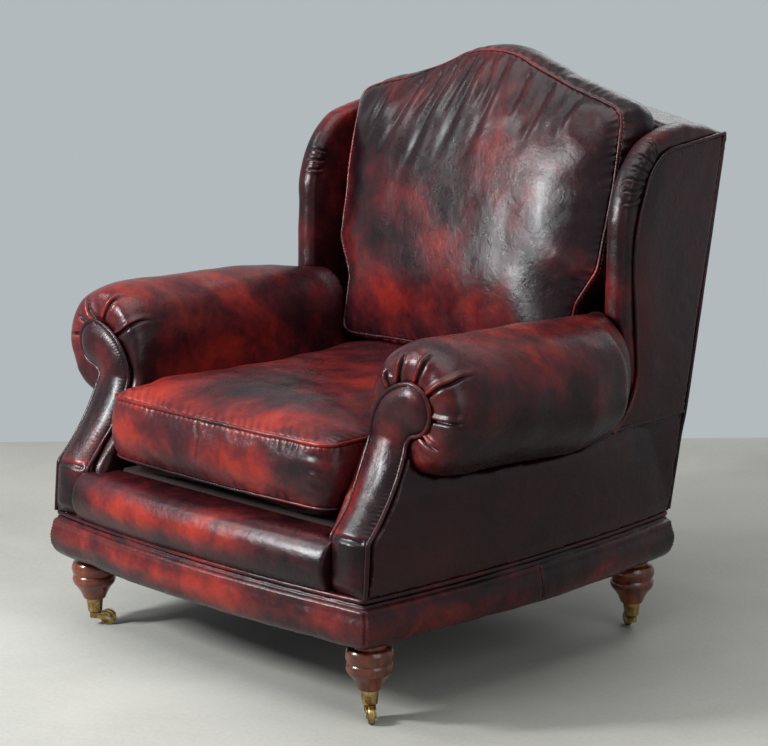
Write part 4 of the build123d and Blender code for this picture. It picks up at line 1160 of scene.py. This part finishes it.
def rail_padding(name, side):
    """Padding sewn round the arm rail, where the rail passes from the roll into the wing."""
    around, rings, squareness = 36, 40, 0.4
    rail_lo, rail_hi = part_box("arm_rail_" + name)
    low = np.array((rail_lo.x, wrap_start_y, rail_lo.z)) - (0.006, 0, 0.066)
    high = np.array((rail_hi.x, wrap_end_y, rail_hi.z)) + (0.006, 0, 0.010)
    middle, half = (low + high) / 2, (high - low) / 2
    ring = circle(np.array((1.0, 0, 0)), np.array((0, 0, 1.0)), around)
    ring = np.sign(ring) * np.abs(ring) ** squareness
    verts = np.concatenate([(ring * (1 - 0.5 * abs(r) ** 9) + (0, r, 0)) * half + middle
                            for r in np.linspace(-1, 1, rings)])
    faces = grid(rings, around, True)
    faces += [tuple(range(around))[::-1], tuple(range(around * (rings - 1), around * rings))]
    wrap = made("arm_rail_padding_" + name, verts, [f[::-1] for f in faces])
    raised(wrap, lambda co, no: rippled(co, ((16, 22, 16), 95 + side, 0.0016)))
    upholstered(wrap, 0.15, leather_plain, "chair", 0.5)


for name, side in sides.items():
    arm = cover("arm_cover_" + name, 0.005, 4, "arm_pad_" + name)
    x, y, z = (coords(arm) * (side, 1, 1)).T
    inner = step(x, 0.335, 0.315) * step(y, -0.38, -0.42) * 0.6
    inner += step(np.abs(x - 0.345), 0.03, 0.0) * step(z, 0.37, 0.40) * step(0.47 - z, 0.0, 0.03) * 0.5
    end = step(y, pleats_end_y, pleats_end_y - 0.06) * step(z, 0.43, 0.46)
    rounded(arm, 30, np.clip(inner + 0.5 * end, 0, 0.6))
    finer(arm)
    co, no = coords(arm), normals(arm)
    x, y, z = (co * (side, 1, 1)).T
    end = step(y, pleats_end_y, pleats_end_y - 0.10) * step(z, 0.43, 0.46)
    end *= step(x, 0.315, 0.345) * step(no[:, 2], -0.5, 0.0)
    put(arm, co + no * (0.0035 * end)[:, None])
    co = coords(arm)
    swell = rippled(co, ((8, 6, 8), 50 + side, 0.0028), ((22, 13, 22), 52 + side, 0.0010, 2))
    put(arm, co + no * (swell * step(side * co[:, 0], 0.300, 0.325))[:, None])
    lines = sewn_in(arm, pleats[name], "y", scroll_plane_y, 0.016)
    tone = blobs(coords(arm), 0.30, arm_spots[name])
    tucked(arm, tone, lines, 0.0062, 0.0048, 0.0042, 0.42)
    upholstered(arm, tone, leather_main, "chair", 0.8, "arm_pad_" + name)

    facing = cover("arm_facing_cover_" + name, 0.003, 3, "arm_facing_" + name)
    finer(facing)
    co = coords(facing)
    edge = from_line(np.column_stack([side * co[:, 0], co[:, 2]]), facing_line[::2])
    front = step(co[:, 1] - facing_front(co[:, 2]), 0.006, 0.002)
    crown = 0.0115 * (1 - (1 - np.clip(edge / 0.036, 0, 1)) ** 2.2) * front
    crown -= 0.0045 * front * bell(co[:, 2], fold_z, 0.005) * step(edge, 0.0, 0.012)
    crown += rippled(co, ((20, 20, 20), 60 + side, 0.0010, 2)) * front
    crown *= step(co[:, 2], panel_z, panel_z + 0.018)
    put(facing, co + np.column_stack([0 * crown, -crown, 0.35 * crown]))
    co = coords(facing)
    # Painted shade down the fold's crease; just above it a lighter band, partly a worn edge and partly a painted
    # highlight; painted shade where the facing dips within 7 mm of its edge by the welt
    tone = blobs(co * (side, 1, 1), 0.17, facing_spots) - 0.25 * bell(co[:, 2], fold_z, 0.004)
    tone += 0.18 * bell(co[:, 2], fold_z + 0.009, 0.005) - 0.15 * step(edge, 0.007, 0.001)
    upholstered(facing, tone, leather_main, "chair", 0.8, "arm_facing_" + name)
    line = even(facing_outline(0.0015), line_pitch)
    path = np.column_stack([side * line[:, 0], facing_front(line[:, 1]) + 0.0012, line[:, 1]])
    welt("facing_welt_" + name, path, 0.0040, "chair", 0.22, False, 12, "shell_welts")

    pad = cover("wing_cover_" + name, 0.005, 6, "wing_pad_" + name)
    finer(pad)
    raised(pad, lambda co, no: rippled(
        co, ((9, 9, 6), 70 + side, 0.0022), ((25, 25, 15), 72 + side, 0.0008, 2),
    ) * step(unsplayed(co, side)[:, 0] * side, wing_x, wing_x + 0.012))
    lines = sewn_in(pad, wing_tucks[name], "x", tuck_plane_x[name], 0.010)
    tone = blobs(coords(pad), 0.22, [
        ((side * 0.38, 0.16, 0.66), (0.04, 0.06, 0.10), 0.12),
        ((side * 0.38, 0.26, 0.89), (0.05, 0.07, 0.03), 0.28),
    ])
    tucked(pad, tone, lines, 0.0045, 0.0026, 0.0018, 0.26)
    upholstered(pad, tone, leather_main, "chair", 0.7, "wing_pad_" + name)

    outside = cover("outside_wing_cover_" + name, 0.0035, 5, "outside_wing_" + name)
    co = coords(outside)
    square = unsplayed(co, side)
    edge = from_line(square[:, 1:], wing_edge_line[::3])
    crown = 0.0035 * (1 - (1 - np.clip(edge / 0.05, 0, 1)) ** 2) + rippled(co, ((6, 6, 6), 80 + side, 0.0016))
    sideways(outside, side, crown * step(side * square[:, 0], half_width - 0.004, half_width - 0.001))
    finer(outside)
    tone = blobs(coords(outside), 0.20, [((side * 0.4, 0.21, 0.62), (0.05, 0.05, 0.16), 0.14)])
    upholstered(outside, tone, leather_plain, "chair", 0.3, "outside_wing_" + name)

    line = even(wing_edge(0.001), line_pitch)
    path = splayed(np.column_stack([np.full(len(line), side * (half_width + 0.0008)), line]), side)
    path = path[path[:, 1] < rear_y(path[:, 2]) - 0.004]
    welt("wing_welt_" + name, path, 0.0036, "chair", 0.24, False, 14)
    z = np.linspace(panel_z + 0.004, wing_top_z - 0.002, 90)
    square_x = side * (half_width - 0.0012)
    corner = splayed(np.column_stack([np.full(90, square_x), rear_y(z) - 0.0012, z]), side)
    corner[:, 0] += (square_x - corner[:, 0]) * step(z, back_seam_z, back_seam_z - 0.03)
    welt("rear_welt_" + name, eased(corner, 8), 0.0034, "chair", 0.16, False, 17)
    y = np.linspace(path[0, 1] + 0.006, rear_y(back_seam_z) - 0.010, 40)
    hem = np.column_stack([np.full(40, side * (half_width + 0.0004)), y, np.full(40, back_seam_z + 0.003)])
    welt("wing_hem_" + name, splayed(hem, side), 0.0030, "chair", 0.12, False, 15)

    skirt = cover("outside_arm_cover_" + name, 0.004, 4, "outside_arm_" + name)
    co, no = coords(skirt), normals(skirt)
    height = step(co[:, 2], panel_z, panel_z + 0.03) * step(back_seam_z - co[:, 2], 0.0, 0.03)
    crown = 0.0045 * height + rippled(co, ((5, 4, 7), 90 + side, 0.0024))
    sideways(skirt, side, crown * step(side * no[:, 0], 0.4, 0.8))
    finer(skirt)
    tone = blobs(coords(skirt), 0.19, [((side * 0.42, -0.30, 0.27), (0.05, 0.10, 0.05), 0.08)])
    upholstered(skirt, tone, leather_plain, "chair", 0.3, "outside_arm_" + name)
    rail_padding(name, side)

# ---- the back
inside = cover("inside_back_cover", 0.006, 8, "inside_back")
finer(inside)
raised(inside, lambda co, no: rippled(co, ((8, 8, 8), 101, 0.002)) * step(co[:, 2], 0.5, 0.6))
upholstered(inside, 0.14, leather_plain, "chair", 0.7, "inside_back")

rear = cover("outside_back_cover", 0.0036, 5, "outside_back")
raised(rear, lambda co, no: step(no[:, 1], 0.3, 0.8) * (
    0.0055 * step(half_width - np.abs(co[:, 0]), 0.0, 0.05) * step(co[:, 2], panel_z, panel_z + 0.05)
    * step(crest_top_z - co[:, 2], 0.0, 0.06) + rippled(co, ((4.5, 4.5, 4.5), 103, 0.0022))))
tone = blobs(coords(rear), 0.19, [((0.0, 0.42, 0.9), (0.25, 0.2, 0.08), 0.10)])
upholstered(rear, tone, leather_plain, "chair", 0.3, "outside_back")

# ---- the base band, its welt and the lip
ridge_z, groove_z, hem_z = band_top_z - 0.013, band_top_z - 0.0045, band_foot_z + 0.010
band_nodes = ["band_front", "band_back", "band_left", "band_right"]
band = cover("band_cover", 0.004, 3, *band_nodes)
finer(band)
co, no = coords(band), normals(band)
z = co[:, 2]
outer = step(np.maximum(np.abs(co[:, 0]) - half_width, np.abs(co[:, 1] - mid_y) - base_depth / 2), -0.009, -0.004)
ridge = bell(z, ridge_z, 0.0042) - 0.9 * bell(z, groove_z, 0.003)
swell = rippled(co, ((7, 7, 14), 111, 0.0020), ((24, 24, 34), 112, 0.0007, 2))
belly = 0.0038 * np.sin(np.pi * np.clip((z - band_foot_z) / (band_top_z - 0.014 - band_foot_z), 0, 1))
put(band, co + no * ((0.0026 * ridge + 0.0008 * bell(z, hem_z, 0.005) + swell + belly) * outer)[:, None])
co = coords(band)
tone = blobs(co, 0.27, [
    ((-0.34, -0.47, 0.180), (0.10, 0.05, 0.022), 0.30),
    ((-0.18, -0.48, 0.176), (0.12, 0.05, 0.022), 0.24),
    ((-0.03, -0.48, 0.176), (0.14, 0.05, 0.026), 0.20),
    ((0.14, -0.48, 0.180), (0.10, 0.05, 0.026), 0.16),
    ((0.33, -0.47, 0.172), (0.09, 0.05, 0.026), 0.30),
    ((0.0, -0.48, 0.140), (0.45, 0.05, 0.012), -0.16),
    ((0.42, -0.25, 0.165), (0.04, 0.14, 0.022), 0.16),
    ((0.42, 0.15, 0.165), (0.04, 0.12, 0.022), 0.12),
    ((0.42, 0.0, 0.200), (0.04, 0.45, 0.020), -0.12),
    ((0.0, 0.32, 0.17), (0.5, 0.04, 0.1), -0.14),
])
# Lighter along the band's ridge: partly a worn ridge, partly a painted highlight
tone += 0.10 * bell(co[:, 2], ridge_z, 0.005) * outer
surface = tree(band)
seam_points = 16
seam_z = np.linspace(band_foot_z + 0.002, band_top_z - 0.001, seam_points)
seam_lines = [snapped([(x * (half_width + 0.02), mid_y + y * (base_depth / 2 + 0.02), z) for z in seam_z], surface)
              for x, y in ((-1, -1), (1, -1), (1, 1), (-1, 1))]
side_seam_y = -0.063 + 0.007 * np.linspace(0, 1, seam_points)
seam_lines += [snapped([(x * 0.45, y, z) for y, z in zip(side_seam_y, seam_z[::-1])], surface) for x in (-1, 1)]
for line in seam_lines:
    seamed(band, tone, even(line, fine_pitch), 0.0026, 0.0032, 0.2, False)
upholstered(band, tone, leather_main, "chair", 0.6, *band_nodes)
surface = tree(band)
threads = []
for number, line in enumerate(seam_lines):
    normal = surface.find_nearest(Vector(line[seam_points // 2]))[1]
    across = np.array(normal.cross(Vector((0, 0, 1))))
    for way in (-1, 1):
        row = snapped(even(line, line_pitch)[1:-1] + across * way * 0.0065, surface, 0.0003)
        threads.append(stitches(f"band_stitches_{number}_{way}", row, 0.0062))
dressed(joined("band_stitches", threads), thread, "chair", "leather")

ring = run(
    ((-half_width, front_y), (0, front_y - base_bow), (half_width, front_y)),
    ((half_width, front_y), (half_width + base_bow, mid_y), (half_width, back_y)),
    ((half_width, back_y), (-half_width, back_y)),
    ((-half_width, back_y), (-half_width - base_bow, mid_y), (-half_width, front_y)),
)
centre = np.array((0.0, mid_y))
inward = (ring - centre) / np.linalg.norm(ring - centre, axis=1)[:, None]
ring = eased(even(ring - inward * 0.0036, line_pitch, True), 2, True)
path = np.column_stack([ring, np.full(len(ring), band_top_z + 0.0035)])
welt("base_welt", path, 0.0042, "chair", 0.36, True, 16, "band_welt")

lip = cover("front_lip_cover", 0.0045, 5, "front_lip")
finer(lip)
raised(lip, lambda co, no: rippled(co, ((6, 8, 12), 121, 0.0012), ((20, 26, 26), 122, 0.0003, 2))
       * step(co[:, 1], front_y + 0.03, front_y + 0.01))
tone = blobs(coords(lip), 0.28, [
    ((-0.20, -0.47, 0.272), (0.10, 0.06, 0.026), 0.30),
    ((-0.03, -0.48, 0.270), (0.13, 0.06, 0.026), 0.29),
    ((0.12, -0.48, 0.268), (0.10, 0.06, 0.022), 0.20),
    ((0.25, -0.47, 0.255), (0.06, 0.06, 0.040), -0.08),
    ((0.0, -0.47, 0.230), (0.40, 0.06, 0.014), -0.10),
])
upholstered(lip, tone, leather_main, "chair", 0.7, "front_lip")

# ---- deck, dust cover and webbing
deck = cover("seat_deck_cover", 0.006, 4, "seat_deck")
raised(deck, lambda co, no: rippled(co, ((12, 12, 12), 131, 0.0012)))
put(deck, np.minimum(coords(deck), (np.inf, np.inf, deck_top_z)))
finer(deck)
dressed(deck, deck_cloth, "chair", "deck_cloth", True, "seat_deck")

inset = 0.015
rows, columns = 49, 53
dust_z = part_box("dust_cover")[0].z + 0.0012
verts = []
for v in np.linspace(0, 1, rows):
    for u in np.linspace(-1, 1, columns):
        y0 = front_y + inset - base_bow * (1 - u * u)
        reach = half_width - inset + base_bow * (1 - (2 * v - 1) ** 2)
        verts.append((u * reach, y0 + (back_y - inset - y0) * v, dust_z))
dust = made("dust_cover_cloth", verts, grid(rows, columns))
co = coords(dust)
edge = np.minimum(1, np.minimum(half_width - np.abs(co[:, 0]), base_depth / 2 - np.abs(co[:, 1] - mid_y)) / 0.12)
co[:, 2] -= 0.0009 * np.clip(edge, 0, 1) * (0.7 + 0.3 * layered(co * 9.0, 141))
put(dust, co)
baked(modified(dust, "SOLIDIFY", thickness=0.0006))
dressed(dust, dust_cloth, "chair", "dust_cloth", True, "dust_cover")

strap_width, strap_columns, strap_count, ahead_of_back = 0.050, 5, 8, 0.0550
each_way = strap_count // 2
strap_reach_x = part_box("back_webbing")[1].x
strap_columns_x = strap_reach_x - 0.032
strap_lo_z, strap_hi_z = 0.330, 0.894
straps, areas = [], []


def strap(points, across):
    """One flat strap along a line."""
    offsets = np.linspace(-0.5, 0.5, strap_columns)
    verts = [q + across * strap_width * o for q in points for o in offsets]
    obj = made(f"strap_{len(straps)}", verts, grid(len(points), strap_columns))
    areas.append(sum(f.area for f in obj.data.polygons))
    straps.append(baked(modified(obj, "SOLIDIFY", thickness=0.0014, offset=0.0)))


def over_and_under(along, crossings, first):
    """How far a strap bends forward to pass the straps that it crosses, over one and under the next."""
    return 0.0009 * sum((-1) ** (first + k) * bell(along, q, 0.035) for k, q in enumerate(crossings))


centres_x = [strap_columns_x * (2 * (c + 0.5) / each_way - 1) for c in range(each_way)]
centres_z = [strap_lo_z + (r + 0.5) * (strap_hi_z - strap_lo_z) / each_way for r in range(each_way)]
for c, x in enumerate(centres_x):
    z = np.linspace(strap_lo_z, strap_hi_z, 60)
    y = rear_y(z) - (ahead_of_back + over_and_under(z, centres_z, c))
    strap(np.column_stack([np.full(60, x), y, z]), np.array((1.0, 0.0, 0.0)))
for r, z in enumerate(centres_z):
    x = np.linspace(-strap_reach_x, strap_reach_x, 70)
    y = rear_y(z) - (ahead_of_back - over_and_under(x, centres_x, r))
    strap(np.column_stack([x, y, np.full(70, z)]), cushion_up)
web = joined("back_webbing_straps", straps)
dressed(web, webbing, "chair", "webbing", False, "back_webbing")
sum(areas) / (strap_count * strap_width)

# ---- wood and metal that keep the frame's shape
finishes = {
    "leg_": mahogany, "front_rail": beech_x, "back_rail": beech_x, "crest_rail": beech_x, "lower_back_rail": beech_x,
    "side_rail": beech_y, "arm_rail": beech_y, "arm_post": beech_z, "back_upright": beech_z, "corner_blocks": beech_z,
    "wing_board": plywood, "seat_springs": steel, "leg_bolts": steel, "castor_axle": steel,
    "castor_cups": brass, "castor_horn": brass, "castor_wheel": brass,
}
for node, obj in nodes.items():
    found = [key for key in finishes if node.startswith(key)]
    if found:
        finish = finishes[max(found, key=len)]
        for place in obj.material_slots:
            place.material = finish

# ---- floor, light and background
def lamp(name, at, aim, size, power, colour=(1.0, 1.0, 1.0)):
    """A rectangular lamp that the camera doesn't see."""
    data = bpy.data.lights.new(name, "AREA")
    data.shape = "RECTANGLE"
    data.size, data.size_y = size
    data.energy = power
    data.color = colour
    obj = bpy.data.objects.new(name, data)
    obj.location = at
    obj.rotation_mode = "QUATERNION"
    obj.rotation_quaternion = (Vector(aim) - Vector(at)).to_track_quat("-Z", "Y")
    obj.visible_camera = False
    scene.collection.objects.link(obj)


daylight = (0.96, 0.98, 1.0)
lamp("window_front", (-0.78, -1.75, 1.26), (0.2, -0.1, 0.55), (0.24, 0.44), 52.0, daylight)
lamp("window_left", (-2.2, -1.8, 2.9), (0.0, -0.2, 0.40), (0.80, 0.80), 36.0, daylight)
lamp("ceiling", (0.2, -0.4, 3.2), (0.0, 0.0, 0.5), (2.6, 2.6), 68.0)
lamp("fill_right", (3.0, -0.6, 1.8), (0.1, 0.0, 0.5), (1.6, 1.8), 20.0)
lamp("fill_back", (-0.6, 2.8, 2.2), (0.0, 0.1, 0.6), (2.0, 1.4), 16.0)

# The camera, and leather that mirrors the room, see the wall's colour. Other light is softer
world = bpy.data.worlds.new("pale_room")
scene.world = world
room = Nodes(world)
light = room.add("ShaderNodeBackground", {"Color": (0.50, 0.52, 0.54, 1.0), "Strength": 0.50})
wall = room.add("ShaderNodeBackground", {"Color": (0.445, 0.491, 0.515, 1.0), "Strength": 1.0})
ray = room.add("ShaderNodeLightPath").outputs
shown = room.math("MAXIMUM", ray["Is Camera Ray"], ray["Is Glossy Ray"])
shown = room.math("MAXIMUM", shown, ray["Is Transmission Ray"])
pick = room.add("ShaderNodeMixShader", {"Fac": shown, 1: light.outputs[0], 2: wall.outputs[0]})
room.add("ShaderNodeOutputWorld", {"Surface": pick.outputs[0]})

floor_back, floor_front, floor_side = 1.43, 3.2, 2.6
flat_ahead = Vector((-math.sin(azimuth), math.cos(azimuth), 0.0))
flat_right = Vector((math.cos(azimuth), math.sin(azimuth), 0.0))
corners = [flat_ahead * a + flat_right * b for a, b in (
    (-floor_front, -floor_side), (-floor_front, floor_side), (floor_back, floor_side), (floor_back, -floor_side))]
floor = made("floor", corners, [(0, 1, 2, 3)])
shade = Shade("concrete_pale")
specks = shade.noise(120.0, 3.0, 0.7)
mix = shade.blend(shade.noise(1.6, 5.0, 0.6, 0.4), 0.7, specks, 0.3)
floor.data.materials.append(shade.finish(
    Base_Color=shade.ramp(mix, [(0.35, (0.30, 0.298, 0.27)), (0.65, (0.40, 0.395, 0.36))]),
    Normal=shade.bump(specks, 0.0006, 0.3), Roughness=0.75))
floor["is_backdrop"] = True

scene.view_settings.view_transform = "Standard"
boxes = {"cad": cad_box, "visual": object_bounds()}
{key: [list(corner) for corner in value] for key, value in boxes.items()}
